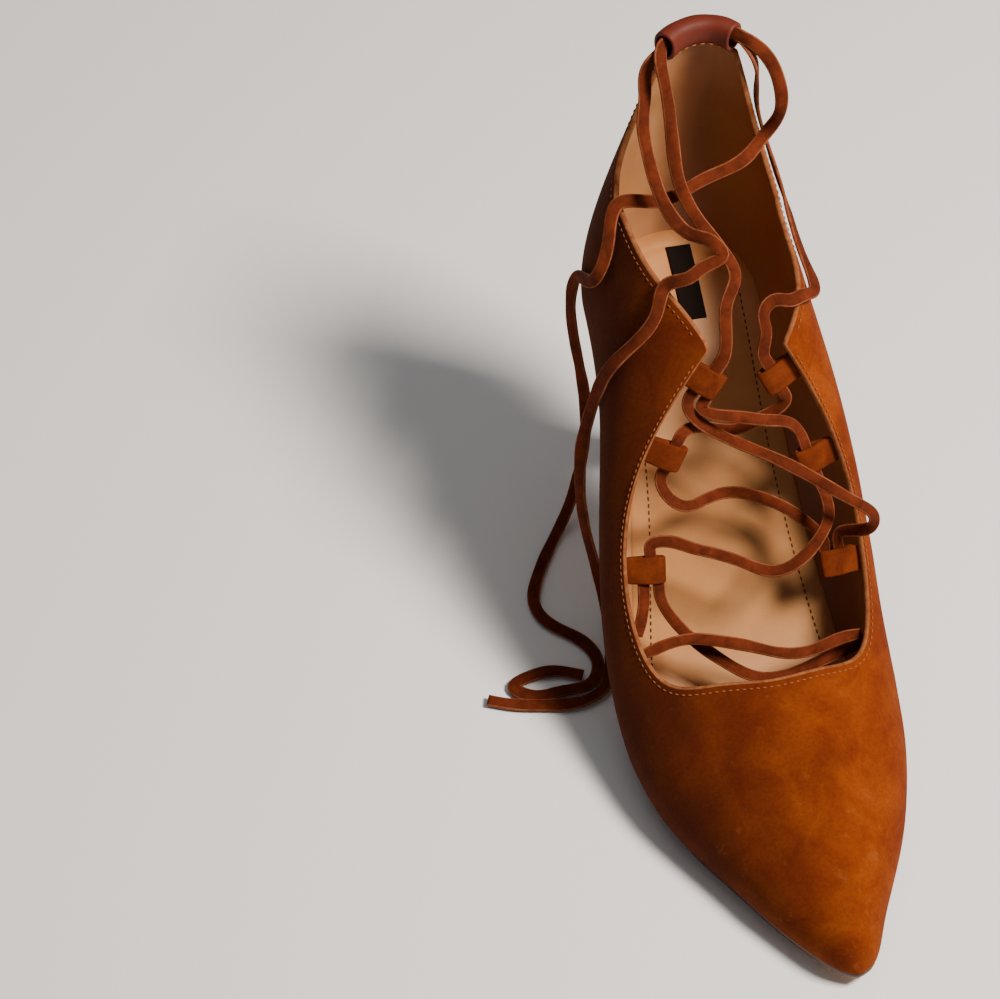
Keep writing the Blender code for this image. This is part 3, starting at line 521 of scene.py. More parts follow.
def mesh_node(name, points, faces, materials, slots=None, rides=True):
    """Smooth mesh in the row frame. slots gives the material of each face."""
    mesh = bpy.data.meshes.new(name)
    mesh.from_pydata([tuple(p) for p in np.asarray(points)], [], [tuple(f) for f in faces])
    for material in materials:
        mesh.materials.append(material)
    mesh.polygons.foreach_set("use_smooth", [True] * len(mesh.polygons))
    if slots is not None:
        mesh.polygons.foreach_set("material_index", list(slots))
    mesh.update()
    item = bpy.data.objects.new(name, mesh)
    bpy.context.scene.collection.objects.link(item)
    if rides:
        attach(item, "root")
    return item


def tube_faces(rings, sides, closed=False, caps=True):
    """Faces of a tube of rings with the same number of points."""
    faces = []
    for k in range(rings if closed else rings - 1):
        m = (k + 1) % rings
        for i in range(sides):
            j = (i + 1) % sides
            faces.append((k * sides + i, k * sides + j, m * sides + j, m * sides + i))
    if caps and not closed:
        faces.append(tuple(reversed(range(sides))))
        faces.append(tuple(range((rings - 1) * sides, rings * sides)))
    return faces


def crease_height(point):
    """Height of the creases over the smooth last at a point."""
    total = 0.0
    x, y = point[0] * 1000, point[1] * 1000
    for x0, y0, x1, y1, width, height in CREASES:
        dx, dy = x1 - x0, y1 - y0
        size = math.hypot(dx, dy)
        t = ((x - x0) * dx + (y - y0) * dy) / size ** 2
        off = abs((x - x0) * dy - (y - y0) * dx) / size
        past = max(0.0, -t, t - 1.0) * size
        total += height * math.exp(-(off / width) ** 2 - (past / (2 * width)) ** 2)
    swell = math.sin(x / 7.3 + 1.1) * math.sin(y / 9.1 + 0.4) + 0.6 * math.sin(x / 4.1 - y / 5.3)
    return (total + 0.22 * swell) * CREASE_LIFT


def upper_look(outer, edge, lining, ribs=150, rows=56):
    """Upper with a rounded edge, soft creases and a lining."""
    ring = loop_of(ribs)
    climbs = [0.5 - 0.5 * math.cos(math.pi * i / (rows - 1)) for i in range(rows)]
    climbs = [0.35 * a + 0.65 * i / (rows - 1) for i, a in enumerate(climbs)]
    skin = np.array([[rib_point(s, r, c) for c in climbs] for s, r in ring])
    normals = grid_normals(skin)
    inner = skin - normals * WALL
    # Creases fade out at the sole and at the edge.
    fade = np.clip(np.array(climbs) / 0.12, 0, 1) * np.clip((1 - np.array(climbs)) / 0.06, 0.25, 1)
    lift = np.array([[crease_height(p) for p in row] for row in skin]) * fade
    skin = skin + normals * lift[..., None]
    inner = inner + normals * (0.4 * lift)[..., None]
    top = (skin[:, -1] + inner[:, -1]) / 2
    rise = skin[:, -1] - skin[:, -2]
    rise /= np.linalg.norm(rise, axis=1, keepdims=True)
    out = (skin[:, -1] - inner[:, -1]) / 2
    lips = []
    for i in range(1, ROUND_STEPS + 1):
        angle = math.pi * i / (ROUND_STEPS + 1)
        lips.append(top + out * math.cos(angle) + rise * (WALL / 2 * math.sin(angle)))
    lips = np.stack(lips, axis=1)
    grid = np.concatenate([skin, lips, inner[:, ::-1]], axis=1)
    n, m = grid.shape[:2]
    faces, slots = [], []
    for i in range(n):
        j = (i + 1) % n
        for k in range(m):
            p = (k + 1) % m
            faces.append((i * m + k, j * m + k, j * m + p, i * m + p))
            slots.append(0 if k < rows - 1 else (1 if k < rows + ROUND_STEPS else 2))
    item = mesh_node(
        "upper_look", grid.reshape(-1, 3) + CENTRE_SHIFT, faces, [outer, edge, lining], slots)
    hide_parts("upper")


def surface_point(side, rib, inset, lift):
    """Point on the outer skin a distance below the edge, lifted off it, and its normal."""
    step = 0.01
    slope = np.linalg.norm(rib_point(side, rib, 1.0) - rib_point(side, rib, 1.0 - step)) / step
    climb = 1.0 - inset / slope
    point = rib_point(side, rib, climb)
    up = unit(point - rib_point(side, rib, climb - step))
    ahead = min(rib + step, 2.0)
    behind = ahead - 2 * step
    if rib <= 1.0 < ahead:
        ahead, behind = 1.0, 1.0 - 2 * step
    along = unit(rib_point(side, ahead, climb) - rib_point(side, behind, climb))
    normal = unit(np.cross(along, up)) * side
    return point + normal * lift, normal


def stitch_points(start, end, normal, width):
    """Short rounded thread from start to end, with both ends sunk in."""
    sides = 8
    axis = end - start
    size = np.linalg.norm(axis)
    axis = axis / size
    across = unit(np.cross(normal, axis))
    rings = []
    for share, grow in ((0.0, 0.35), (0.12, 0.8), (0.35, 1.0), (0.65, 1.0), (0.88, 0.8), (1.0, 0.35)):
        middle = start + axis * (share * size) + normal * (width * (grow - 0.6))
        half = width * grow
        rings.append([
            middle + across * (half * math.cos(a)) + normal * (0.7 * half * math.sin(a))
            for a in (2 * math.pi * i / sides for i in range(sides))])
    return np.array(rings).reshape(-1, 3), tube_faces(len(rings), sides)


def stitch_row(name, path, normals, pitch, length, width, material):
    """Row of stitches along a path of points with normals."""
    reach = np.concatenate([[0.0], np.cumsum(np.linalg.norm(np.diff(path, axis=0), axis=1))])
    count = int(reach[-1] / pitch)
    points, faces = [], []
    for k in range(count):
        ends = [reach[-1] * (k + 0.5) / count + sign * length / 2 for sign in (-1, 1)]
        start, end = (np.array([np.interp(e, reach, path[:, i]) for i in range(3)]) for e in ends)
        middle = np.mean(ends)
        normal = unit(np.array([np.interp(middle, reach, normals[:, i]) for i in range(3)]))
        more, sides = stitch_points(start, end, normal, width)
        faces.extend(tuple(i + len(points) for i in f) for f in sides)
        points.extend(more)
    mesh_node(name, np.array(points) + CENTRE_SHIFT, faces, [material])


def edge_stitches(throat, collar):
    """Rows of thread below the edge of the throat and of the collar, on both sides."""
    for word, first, last, material in (("throat", 0.0, 0.985, throat), ("collar", 1.03, 1.80, collar)):
        for side in (-1.0, 1.0):
            ribs = np.linspace(first, last, STITCH_POINTS)
            rows = [surface_point(side, rib, STITCH_INSET, STITCH_LIFT) for rib in ribs]
            name = f"{word}_stitches_{'outer' if side < 0 else 'inner'}"
            path, normals = (np.array([row[i] for row in rows]) for i in (0, 1))
            stitch_row(name, path, normals, STITCH_PITCH, STITCH_LENGTH, THREAD, material)


def sole_look(material, bottom):
    """Outsole with a rounded edge, and its underside in a material of its own."""
    count = 90
    rings = [drop(base_loop(count, SOLE_MARGIN - inwards), GAP + down) for inwards, down in (
        (SOLE_ROUND, 0.0),
        (0.0, SOLE_ROUND),
        (0.0, SOLE_THICKNESS - SOLE_BEVEL),
        (0.3 * SOLE_BEVEL, SOLE_THICKNESS - 0.3 * SOLE_BEVEL),
        (SOLE_BEVEL, SOLE_THICKNESS))]
    points, faces = plate_faces(rings)
    lowest = (len(rings) - 1) * len(rings[0])
    slots = [1 if min(f) >= lowest else 0 for f in faces]
    item = mesh_node("outsole_look", points + CENTRE_SHIFT, faces, [material, bottom], slots)
    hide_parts("outsole")


def plate_faces(rings):
    """Points and faces between loops of the outline, closed across from side to side."""
    n = len(rings[0])
    half = n // 2
    points = np.concatenate(rings)
    faces = tube_faces(len(rings), n, caps=False)
    for start in (0, (len(rings) - 1) * n):
        faces.append((start, start + 1, start + n - 1))
        for i in range(1, half - 1):
            faces.append((start + i, start + i + 1, start + n - i - 1, start + n - i))
        faces.append((start + half - 1, start + half, start + half + 1))
    return points, faces


def sock_height(y):
    """Height of the insole's upper face at a length position."""
    return floor_height(y) + INSOLE_THICKNESS * math.hypot(1.0, slope_at(y))


def slab(name, top, base, material):
    """Closed slab between two grids of points, with the points that coincide merged."""
    rows, m = top.shape[:2]
    under = rows * m
    faces = []
    for i in range(rows - 1):
        for k in range(m - 1):
            a = i * m + k
            faces.append((a, a + 1, a + m + 1, a + m))
            faces.append(tuple(v + under for v in (a + m, a + m + 1, a + 1, a)))
    for i in range(rows - 1):
        a, b = i * m, i * m + m - 1
        faces.append((a, a + m, a + m + under, a + under))
        faces.append((b + m, b, b + under, b + m + under))
    for k in range(m - 1):
        a, b = k, (rows - 1) * m + k
        faces.append((a + 1, a, a + under, a + 1 + under))
        faces.append((b, b + 1, b + 1 + under, b + under))
    points = np.concatenate([top.reshape(-1, 3), base.reshape(-1, 3)]) + CENTRE_SHIFT
    item = mesh_node(name, points, faces, [material])
    mesh = bmesh.new()
    mesh.from_mesh(item.data)
    bmesh.ops.remove_doubles(mesh, verts=mesh.verts, dist=1e-7)
    mesh.to_mesh(item.data)
    mesh.free()
    return item


def insole_look(leather, thread, print_ink):
    """Full-length sock with a soft edge, a stitched line on each side and a blank label."""
    count, columns = 110, 34
    inset = -(WALL + SOCK_CLEARANCE)
    under = base_loop(count, inset)
    n = len(under)
    half = n // 2
    rows = []
    for i in range(half + 1):
        right, left = under[i], under[(n - i) % n]
        row = []
        for k in range(columns + 1):
            share = 0.5 - 0.5 * math.cos(math.pi * k / columns)
            row.append(right + (left - right) * share)
        rows.append(row)
    base = np.array(rows)
    outline = under[:, :2]
    flat = base.reshape(-1, 3)
    gap = np.min(np.linalg.norm(flat[:, None, :2] - outline[None], axis=2), axis=1)
    gap = gap.reshape(base.shape[:2])
    lifted = base.copy()
    for i in range(half + 1):
        for k in range(columns + 1):
            point = lifted[i, k]
            slope = slope_at(point[1])
            size = math.hypot(1.0, slope)
            roll = min(gap[i, k] / SOCK_ROUND, 1.0)
            height = INSOLE_THICKNESS * (0.45 + 0.55 * math.sqrt(max(1 - (1 - roll) ** 2, 0.0)))
            height -= GROOVE_DEPTH * math.exp(-((gap[i, k] - SOCK_INSET) / GROOVE_WIDTH) ** 2)
            point[1] -= slope / size * height
            point[2] += height / size
    item = slab("insole_look", lifted, base, leather)
    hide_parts("insole")

    line = base_loop(count, inset - SOCK_INSET)
    for point in line:
        point[2] = sock_height(point[1]) - STITCH_LIFT
    path = np.array([p for p in line if SOCK_STITCHES_FROM < p[1] < SOCK_STITCHES_TO])
    split = int(np.argmax(np.linalg.norm(np.diff(path, axis=0), axis=1)))
    for word, row in (("inner", path[:split + 1]), ("outer", path[split + 1:])):
        normals = np.tile((0.0, -0.2, 0.98), (len(row), 1))
        stitch_row(f"sock_stitches_{word}", row, normals, SOCK_PITCH, SOCK_STITCH, SOCK_THREAD, thread)
    label_look(print_ink)


def label_look(ink):
    """Bare dark patch on the heel seat."""
    (left, near), (right, far) = LABEL
    top = np.array([
        [(x, y, sock_height(y) + LABEL_LIFT) for x in np.linspace(left, right, 9)]
        for y in np.linspace(near, far, 25)])
    slab("heel_label", top, top - (0.0, 0.0, LABEL_DEPTH), ink)


def heel_look(material):
    """Covered heel, its top cut to the slope of the seat."""
    sides, levels = 64, 46
    columns = [spline(HEEL, i) for i in range(1, 5)]
    middle, centre = seat_middle()
    depth = GAP + SOLE_THICKNESS + HEEL_SEAT_GAP
    seats = []
    for _, y in ring_points(*HEEL[0][1:4], sides):
        place = centre + y + HEEL[0][4]
        seats.append(floor_height(place) - depth * math.hypot(1.0, slope_at(place)))
    points = []
    for k in range(levels + 1):
        level = k / levels
        width, back, front, shift = (column(level) for column in columns)
        for (x, y), seat in zip(ring_points(width, back, front, sides), seats):
            z = seat + (TIP_THICKNESS + GAP - seat) * level
            points.append((middle + x, centre + y + shift, z))
    item = mesh_node(
        "heel_look", np.array(points) + CENTRE_SHIFT, tube_faces(levels + 1, sides), [material])
    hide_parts("heel")


def tip_look(material):
    """Top piece with a small rounded edge."""
    sides = 64
    middle, centre = seat_middle()
    width, back, front, shift = HEEL[-1][1:]
    points = []
    for z, cut in (
            (TIP_THICKNESS, TIP_ROUND), (TIP_THICKNESS - TIP_ROUND, 0.0), (0.0008, 0.0), (0.0, 0.0005)):
        for x, y in ring_points(width - cut, back - cut, front - cut, sides):
            points.append((middle + x, centre + y + shift, z))
    item = mesh_node("heel_tip_look", np.array(points) + CENTRE_SHIFT, tube_faces(4, sides), [material])
    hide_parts("heel_tip")


def tunnel_look(material, thread):
    """Rolled leather tunnel along the top of the back, soft between its ends."""
    steps, sides = 48, 40
    span = 2.0 - TUNNEL_END
    edge = []
    for i in range(steps + 1):
        place = -span + 2 * span * i / steps
        side = -1.0 if place < 0 else 1.0
        step = 2.0 - abs(place)
        edge.append(last_point(side, step, turn_at(side, step, BACK_TOP)))
    edge = np.array(edge)
    along = np.gradient(edge, axis=0)
    lift = TUNNEL_HEIGHT / 2 + TUNNEL_GAP
    outside, inside, seam = [], [], []
    for i, (point, tangent) in enumerate(zip(edge, along)):
        out = unit(np.array((-tangent[1], tangent[0], 0.0)))
        middle = point - out * WALL / 2 + np.array((0.0, 0.0, lift))
        share = i / steps
        sag = 1.0 - 0.05 * math.sin(math.pi * share) + 0.012 * math.sin(17 * share)
        for rows, shrink in ((outside, 0.0), (inside, TUNNEL_WALL)):
            ring = []
            for k in range(sides):
                angle = 2 * math.pi * k / sides
                cosine, sine = math.cos(angle), math.sin(angle)
                depth = (TUNNEL_DEPTH / 2 - shrink) * math.copysign(abs(cosine) ** TUNNEL_SQUARE, cosine)
                height = (TUNNEL_HEIGHT / 2 - shrink) * math.copysign(abs(sine) ** TUNNEL_SQUARE, sine)
                ring.append(middle + out * depth * sag + np.array((0.0, 0.0, height * sag)))
            rows.append(ring)
        seam.append((middle - out * TUNNEL_DEPTH * 0.47 - np.array((0, 0, TUNNEL_HEIGHT * 0.26)), -out))
    outside, inside = np.array(outside), np.array(inside)
    first = (outside[0] + inside[0]) / 2 - unit(edge[1] - edge[0]) * TUNNEL_ROUND
    last = (outside[-1] + inside[-1]) / 2 + unit(edge[-1] - edge[-2]) * TUNNEL_ROUND
    rings = [*inside[::-1], first, *outside, last]
    points = np.array(rings).reshape(-1, 3)
    item = mesh_node(
        "back_tunnel_look", points + CENTRE_SHIFT, tube_faces(len(rings), sides, closed=True), [material])
    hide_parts("back_tunnel")
    path, normals = (np.array([row[i] for row in seam[3:-3]]) for i in (0, 1))
    stitch_row("tunnel_stitches", path, normals, *TUNNEL_STITCH, thread)


def loop_look(name, side, rib, material):
    """Folded strip with soft corners, and the eye that the lace runs through."""
    root, reach, along, across = loop_frame(side, rib)
    half_curve = spline(LOOP_SHAPE + ((1.0, 0.0),), 1)
    shares = [0.5 - 0.5 * math.cos(math.pi * i / 22) for i in range(23)]
    top = []
    for share in shares:
        tip = math.sqrt(max(1.0 - ((share - 0.9) / 0.1) ** 2, 0.0)) if share > 0.9 else 1.0
        top.append((share * LOOP_LENGTH, max(half_curve(min(share, 0.9)), 0.0009) * tip))
    outline = top[:-1] + [(LOOP_LENGTH, 0.0)] + [(a, -b) for a, b in reversed(top[:-1])]
    centre = EYE_CENTRE * LOOP_LENGTH
    eye = []
    for a, b in outline:
        angle = math.atan2(b / EYE_HEIGHT, (a - centre) / EYE_LENGTH)
        eye.append((centre + EYE_LENGTH / 2 * math.cos(angle), EYE_HEIGHT / 2 * math.sin(angle)))
    outline, eye = np.array(outline), np.array(eye)
    half = LOOP_WIDTH / 2
    middle = (outline + eye) / 2
    near_end = [(-half + inwards, grow) for inwards, grow in LOOP_ROUNDING]
    far_end = [(-end, grow) for end, grow in reversed(near_end)]
    rings = []
    for way, curve, bulge in ((1, outline, LOOP_BULGE), (-1, eye, 1.0)):
        for end, grow in near_end + [(0.0, bulge)] + far_end:
            rings.append((way * end, middle + (curve - middle) * grow))
    points = []
    for end, ring in rings:
        for a, b in ring:
            bow = LOOP_BOW * math.sin(math.pi * min(a / LOOP_LENGTH, 1.0))
            points.append(root + reach * a + across * (b + bow) + along * end)
    item = mesh_node(
        name + "_look", np.array(points) + CENTRE_SHIFT,
        tube_faces(len(rings), len(outline), closed=True), [material])
    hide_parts(name)


def ribbon_section(width, thickness):
    """Flat strip with rounded edges."""
    half, thin = width / 2, thickness / 2
    points = []
    for sign in (1, -1):
        for angle in (-70, -35, 0, 35, 70):
            a = math.radians(angle)
            points.append((sign * (half - thin + thin * math.cos(a)), sign * thin * math.sin(a)))
        points.append((sign * (half - thin) * 0.3, sign * thin))
    return points


def ribbon(name, path, faces_at, materials, width, narrow=0.0):
    """Flat suede lace along a path, slightly twisted and uneven.
    faces_at: (share of the length, direction of its face). narrow: how much its ends narrow.
    materials: face of the lace and its cut edges."""
    reach = np.concatenate([[0.0], np.cumsum(np.linalg.norm(np.diff(path, axis=0), axis=1))])
    tangents = np.gradient(path, axis=0)
    tangents /= np.linalg.norm(tangents, axis=1, keepdims=True)
    stations = [row[0] for row in faces_at]
    seed = sum(map(ord, name)) % 17
    points = []
    for point, tangent, place in zip(path, tangents, reach):
        share = place / reach[-1]
        face = np.array([np.interp(share, stations, [row[1][i] for row in faces_at]) for i in range(3)])
        across = unit(np.cross(tangent, face))
        up = unit(np.cross(across, tangent))
        twist = 0.16 * math.sin(place / 0.011 + seed) + 0.08 * math.sin(place / 0.0047 + 2 * seed)
        cosine, sine = math.cos(twist), math.sin(twist)
        across, up = across * cosine + up * sine, up * cosine - across * sine
        ends = min(place, reach[-1] - place) / 0.004
        size = 1.0 - narrow * max(0.0, 1.0 - ends)
        swell = 1.0 + 0.04 * math.sin(place / 0.0061 + seed) + 0.025 * math.sin(place / 0.0023)
        thickness = RIBBON_THICKNESS * (1.0 + 0.05 * math.sin(place / 0.005))
        for a, b in ribbon_section(width * size * swell, thickness):
            points.append(point + across * a + up * b)
    sides = len(points) // len(path)
    faces = tube_faces(len(path), sides)
    slots = [int(k % sides % (sides // 2) < sides // 2 - 2) for k in range(len(faces))]
    return mesh_node(name, np.array(points), faces, materials, slots)


def linear(code):
    """sRGB hex colour as a linear colour."""
    values = [int(code[i:i + 2], 16) / 255 for i in (1, 3, 5)]
    return tuple(v / 12.92 if v <= 0.04045 else ((v + 0.055) / 1.055) ** 2.4 for v in values) + (1.0,)


def add(tree, kind, inputs=(), **settings):
    """New node with its settings, values and links."""
    item = tree.nodes.new(kind)
    for key, value in settings.items():
        setattr(item, key, value)
    for key, value in dict(inputs).items():
        if isinstance(value, bpy.types.NodeSocket):
            tree.links.new(value, item.inputs[key])
        else:
            item.inputs[key].default_value = value
    return item


def blank(name):
    """New material with its tree, its shader and a place in metres."""
    material = bpy.data.materials.new(name)
    material.use_nodes = True
    tree = material.node_tree
    place = add(tree, "ShaderNodeTexCoord").outputs["Object"]
    return material, tree, tree.nodes["Principled BSDF"], place


def dress(tree, shader, colour, settings):
    """Shader with its colour linked and its other settings as plain values."""
    tree.links.new(colour, shader.inputs["Base Color"])
    for key, value in settings.items():
        shader.inputs[key].default_value = value


def rough(tree, shader, height, strength, distance):
    """Fine relief on a shader."""
    bump = add(tree, "ShaderNodeBump", {"Height": height, "Strength": strength, "Distance": distance})
    tree.links.new(bump.outputs["Normal"], shader.inputs["Normal"])


def speckled(tree, colour, grain):
    """Colour made lighter and darker by a grain."""
    grey = add(tree, "ShaderNodeCombineColor", {"Red": grain, "Green": grain, "Blue": grain})
    return mixed(tree, 1.0, colour, grey.outputs["Color"], "MULTIPLY")


def mixed(tree, share, first, second, way="MIX"):
    """Colour between two colours."""
    item = add(tree, "ShaderNodeMix", data_type="RGBA", blend_type=way)
    for index, value in ((0, share), (6, first), (7, second)):
        if isinstance(value, bpy.types.NodeSocket):
            tree.links.new(value, item.inputs[index])
        else:
            item.inputs[index].default_value = value
    return item.outputs[2]


def ranged(tree, value, low, high, to_low=0.0, to_high=1.0):
    """Value mapped from one range to another, clamped."""
    return add(tree, "ShaderNodeMapRange", {
        "Value": value, "From Min": low, "From Max": high, "To Min": to_low, "To Max": to_high,
    }).outputs["Result"]


def suede(name, lit, brushed, wear_and_shade, blotch=0.016, nap=0.0004, wear=0.0, painted_shade=None):
    """Suede: nap brushed two ways in blotches, a fine felted grain, and paler spots of wear
    towards the toe. blotch and nap are their sizes in metres, and nearly no gloss keeps it soft.
    The shade colour, when given, is painted shade: the outer side darkens to it across a wavy line."""
    material, tree, shader, place = blank(name)
    patches = add(tree, "ShaderNodeTexNoise", {
        "Vector": place, "Scale": 1 / blotch, "Detail": 5.0, "Roughness": 0.6, "Distortion": 0.7})
    colour = mixed(tree, ranged(tree, patches.outputs["Fac"], 0.36, 0.66), linear(brushed), linear(lit))
    # Painted shade: the colour darkens towards the outer side (negative x), past a wavy line, on the
    # upper and the heel.
    if painted_shade:
        slow = add(tree, "ShaderNodeTexNoise", {"Vector": place, "Scale": 1 / 0.03, "Detail": 3.0})
        x = add(tree, "ShaderNodeSeparateXYZ", {"Vector": place}).outputs["X"]
        drift = ranged(tree, slow.outputs["Fac"], 0.3, 0.7, -0.010, 0.010)
        side = add(tree, "ShaderNodeMath", {0: x, 1: drift}, operation="ADD").outputs[0]
        colour = mixed(tree, ranged(tree, side, 0.026, -0.034, 0.0, 0.85), colour, linear(painted_shade))
    fine = add(tree, "ShaderNodeTexNoise", {
        "Vector": place, "Scale": 1 / (3 * nap), "Detail": 4.0, "Roughness": 0.7})
    grain = ranged(tree, fine.outputs["Fac"], 0.3, 0.7, 0.80, 1.12)
    colour = speckled(tree, colour, grain)
    if wear:
        spots = add(tree, "ShaderNodeTexNoise", {
            "Vector": place, "Scale": 1 / 0.0055, "Detail": 6.0, "Roughness": 0.72})
        y = add(tree, "ShaderNodeSeparateXYZ", {"Vector": place}).outputs["Y"]
        near_toe = ranged(tree, y, -0.02, -0.112, 0.25, 1.0)
        spot = ranged(tree, spots.outputs["Fac"], 0.60, 0.74, 0.0, wear)
        share = add(tree, "ShaderNodeMath", {0: spot, 1: near_toe}, operation="MULTIPLY").outputs[0]
        colour = mixed(tree, share, colour, linear(wear_and_shade))
    dress(tree, shader, colour, {
        "Roughness": 0.96, "Specular IOR Level": 0.12,
        "Sheen Weight": 0.06, "Sheen Roughness": 0.45, "Sheen Tint": linear(wear_and_shade)})
    hairs = add(tree, "ShaderNodeTexNoise", {
        "Vector": place, "Scale": 1 / nap, "Detail": 3.0, "Roughness": 0.65, "Distortion": 0.4})
    rough(tree, shader, hairs.outputs["Fac"], 0.45, 0.00022)
    return material


def leather(name, base, deep, pore=0.0006, roughness=0.5, coat=0.06, specular=0.5, wear_and_shade=None):
    """Smooth leather: slow change of tone, fine pores and a thin finish, for a quiet shine.
    Its last colour, when given, is painted shade that the inner side and the middle of the back darken
    to."""
    material, tree, shader, place = blank(name)
    slow = add(tree, "ShaderNodeTexNoise", {
        "Vector": place, "Scale": 1 / 0.02, "Detail": 4.0, "Roughness": 0.55})
    colour = mixed(tree, ranged(tree, slow.outputs["Fac"], 0.34, 0.68), linear(base), linear(deep))
    # Painted shade: darker from just outside the middle of the back towards the inner side.
    if wear_and_shade:
        x = add(tree, "ShaderNodeSeparateXYZ", {"Vector": place}).outputs["X"]
        colour = mixed(tree, ranged(tree, x, -0.007, 0.003, 0.0, 0.9), colour, linear(wear_and_shade))
    dress(tree, shader, colour, {
        "Roughness": roughness, "Specular IOR Level": specular,
        "Coat Weight": coat, "Coat Roughness": 0.35})
    cells = add(tree, "ShaderNodeTexVoronoi", {"Vector": place, "Scale": 1 / pore}, feature="F1")
    rough(tree, shader, cells.outputs["Distance"], 0.25, 0.00008)
    return material


def plain(name, base, roughness, sheen=0.0):
    """One colour with a very fine grain, dull, for thread, print and rubber."""
    material, tree, shader, place = blank(name)
    fine = add(tree, "ShaderNodeTexNoise", {"Vector": place, "Scale": 1 / 0.0005, "Detail": 3.0})
    colour = speckled(tree, linear(base), ranged(tree, fine.outputs["Fac"], 0.3, 0.7, 0.86, 1.08))
    dress(tree, shader, colour, {
        "Roughness": roughness, "Specular IOR Level": 0.15, "Sheen Weight": sheen})
    return material


# Camera of the photograph: where it aims, how far off it stands in metres, how it is turned in
# degrees, and its lens and sensor in mm.
CAMERA_AIM = (-0.07043, 0.03574, 0.068)
CAMERA_DISTANCE = 1.0
CAMERA_AZIMUTH = -11.117
CAMERA_ELEVATION = 51.5
CAMERA_LENS = 116.24
CAMERA_SENSOR = 36.0


def camera():
    """Camera at the photograph's angle."""
    data = bpy.data.cameras.new("camera")
    data.lens = CAMERA_LENS
    data.sensor_width = CAMERA_SENSOR
    data.clip_start = 0.05
    item = bpy.data.objects.new("camera", data)
    az, el = math.radians(CAMERA_AZIMUTH), math.radians(CAMERA_ELEVATION)
    back = Vector((math.sin(az) * math.cos(el), -math.cos(az) * math.cos(el), math.sin(el)))
    right = Vector((math.cos(az), math.sin(az), 0.0))
    rows = Matrix((right, back.cross(right), back)).transposed().to_4x4()
    item.matrix_world = Matrix.Translation(Vector(CAMERA_AIM) + back * CAMERA_DISTANCE) @ rows
    bpy.context.scene.collection.objects.link(item)
    bpy.context.scene.camera = item


def lamp(name, place, aim, size, power, colour):
    """Soft square lamp."""
    data = bpy.data.lights.new(name, "AREA")
    data.shape = "SQUARE"
    data.size = size
    data.energy = power
    data.color = linear(colour)[:3]
    item = bpy.data.objects.new(name, data)
    item.location = place
    item.rotation_euler = (Vector(aim) - Vector(place)).to_track_quat("-Z", "Y").to_euler()
    bpy.context.scene.collection.objects.link(item)


def studio():
    """Pale floor, soft lamps and a pale sky."""
    material = bpy.data.materials.new("pale_floor")
    material.use_nodes = True
    shader = material.node_tree.nodes["Principled BSDF"]
    shader.inputs["Base Color"].default_value = linear("#F2F2F2")
    shader.inputs["Roughness"].default_value = 0.9
    size, low = 2.0, -0.0004
    corners = [(-size, -size, low), (size, -size, low), (size, size, low), (-size, size, low)]
    floor = mesh_node("floor", corners, [(0, 1, 2, 3)], [material], rides=False)
    lamp("key_lamp", (0.574, -0.331, 1.12), (0.0, 0.0, 0.06), 0.32, 31.0, "#FFF4E8")
    lamp("top_lamp", (-0.05, 0.35, 1.3), (0.0, 0.0, 0.05), 0.9, 2.0, "#FFFFFF")
    world = bpy.data.worlds.new("sky")
    world.use_nodes = True
    background = world.node_tree.nodes["Background"]
    background.inputs["Color"].default_value = linear("#FFFFFF")
    background.inputs["Strength"].default_value = 0.13
    bpy.context.scene.world = world


# Crossings with an end that lies free: whether the start and the end run into a loop's eye.
IN_EYES = {"lace_6": (True, False), "lace_7": (False, False), "lace_8": (True, False)}
# Widths of the lace, wider where it hangs free.
CROSSING_WIDTH = 0.0038
END_WIDTH = 0.0041
# Direction that the lace's face looks in, by share of each free end's length.
END_FACES = {
    "lace_end_1": (
        (0.00, (0.0, -0.55, 0.83)), (0.17, (0.1, -0.8, 0.5)), (0.23, (0.0, -1.0, 0.1)),
        (0.28, (0.0, -1.0, 0.2)), (0.36, (-0.1, -0.6, 0.8)), (0.49, (-0.1, -0.6, 0.8)),
        (0.58, (-0.6, -0.6, 0.4)), (0.72, (-0.5, -0.6, 0.5)), (0.80, (-0.3, -0.2, 0.9)),
        (1.00, (0.0, -0.1, 1.0))),
    "lace_end_2": (
        (0.00, (0.0, -0.55, 0.83)), (0.08, (0.3, -0.3, 0.9)), (0.14, (0.9, 0.1, 0.4)),
        (0.30, (0.9, -0.1, 0.3)), (0.36, (0.0, -1.0, 0.1)), (0.41, (0.0, -1.0, 0.2)),
        (0.48, (-0.1, -0.6, 0.8)), (0.56, (-0.2, -0.6, 0.8)), (0.62, (-0.3, -0.6, 0.7)),
        (0.70, (-0.5, -0.6, 0.5)), (0.80, (-0.6, -0.5, 0.5)), (0.89, (-0.3, -0.2, 0.9)),
        (1.00, (0.0, -0.1, 1.0))),
}


def beyond(end, before, reach):
    """Point straight on past the end of a route."""
    return end + unit(end - before) * reach


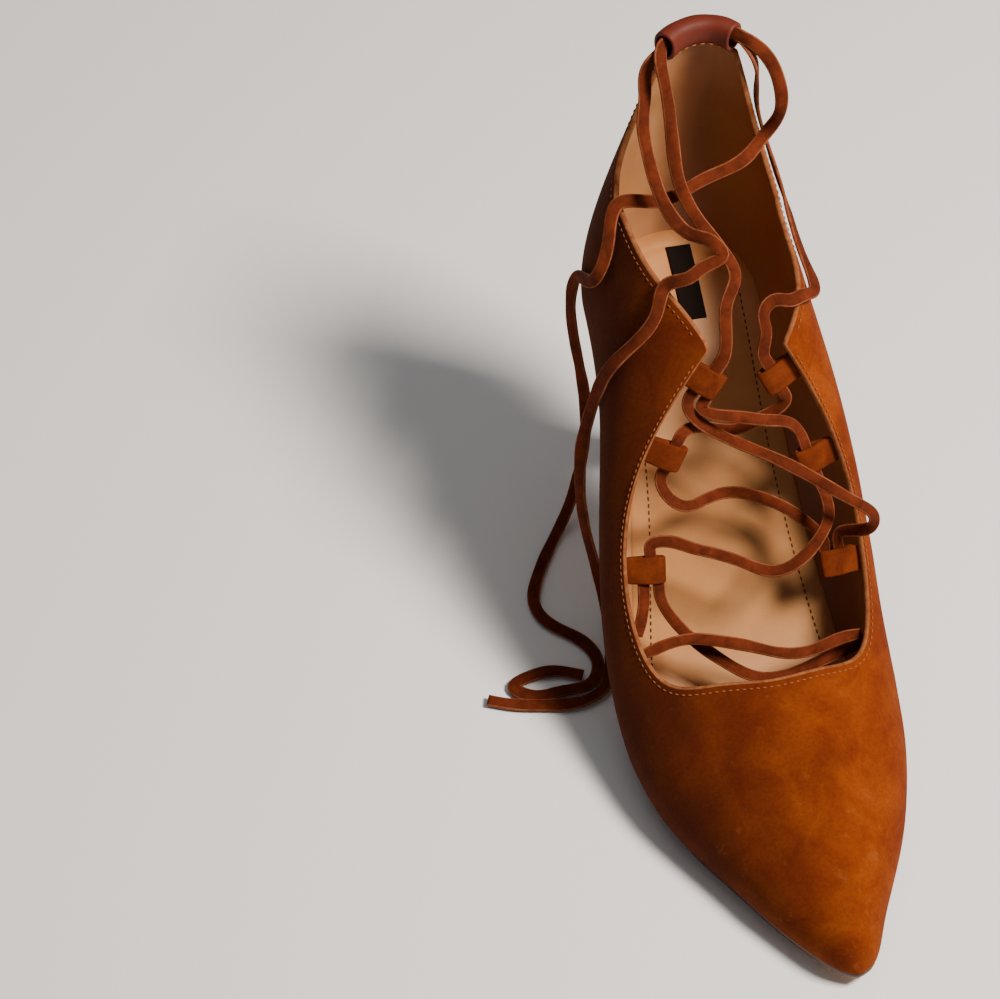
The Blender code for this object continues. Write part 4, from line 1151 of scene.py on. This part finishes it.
def laces(materials):
    """Crossings between the loops and the two free ends."""
    for name, route in CROSSINGS.items():
        route = np.array(route) / 1000
        start, end = IN_EYES.get(name, (True, True))
        longer = list(route)
        if start:
            longer.insert(0, beyond(route[0], route[1], EYE_REACH))
        if end:
            longer.append(beyond(route[-1], route[-2], EYE_REACH))
        path = smooth_path(longer, 0.0009) + CENTRE_SHIFT
        faces_at = ((0.0, LACE_FACE), (1.0, LACE_FACE))
        item = ribbon(name + "_look", path, faces_at, materials, CROSSING_WIDTH, narrow=0.2)
        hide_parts(name)
    for name, route in CORD_ENDS.items():
        route = np.array(route) / 1000
        longer = [beyond(route[0], route[1], END_REACH)] + list(route)
        path = smooth_path(longer, 0.0011) + CENTRE_SHIFT
        item = ribbon(name + "_look", path, END_FACES[name], materials, END_WIDTH)
        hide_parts(name)


def build():
    """Camera, every piece with its materials, then floor and lamps."""
    camera()
    # The lace is darker and redder than the upper, with paler cut edges.
    lace = suede("lace suede, dark and slightly rubbed", "#662A14", "#4C1D0D", "#8A4E32", blotch=0.007)
    laces([lace, suede("cut edge of the lace, paler", "#8E5236", "#70381E", "#A87050", blotch=0.004)])
    # Warm tan nap with painted shade that turns it deep brown on the outer side, and beige leather
    # inside.
    outer = suede("tan suede, brushed nap, painted shade on the outer side", "#843B0B", "#6A2707", "#A0602F", wear=0.35, painted_shade="#3C1404")
    edge = suede("cut edge of suede", "#96603C", "#783F20", "#B88860", blotch=0.004)
    # The lining's darker brown on the inner side and the back is painted shade.
    lining = leather("beige lining leather, worn brown", "#C08A5C", "#AC7646", wear_and_shade="#74401E")
    upper_look(outer, edge, lining)
    thread = plain("pale orange thread", "#8C5028", 0.85, 0.1)
    dark_thread = plain("brown thread", "#5E3A20", 0.7)
    edge_stitches(thread, plain("brown thread, tone in tone", "#8A4A22", 0.8, 0.2))
    sole_look(leather("sole edge, stained brown", "#4C2812", "#3A1C0C", roughness=0.42),
              leather("sole leather", "#A47C58", "#8C6444", roughness=0.55))
    insole_look(leather("sock leather, beige", "#C0844A", "#B2763E"), dark_thread,
                plain("dark print on the sock", "#140A06", 0.9))
    heel_look(outer)
    tip_look(plain("dark heel rubber", "#1E1614", 0.6))
    tunnel_look(leather("red brown leather, rolled", "#6A240E", "#561A09",
                        pore=0.0009, roughness=0.62, coat=0.02, specular=0.3), thread)
    strap = suede("loop suede, folded", "#70300E", "#582209", "#94552F", blotch=0.009)
    for name, side, rib in LOOPS:
        loop_look(name, side, rib, strap)
    studio()


build()
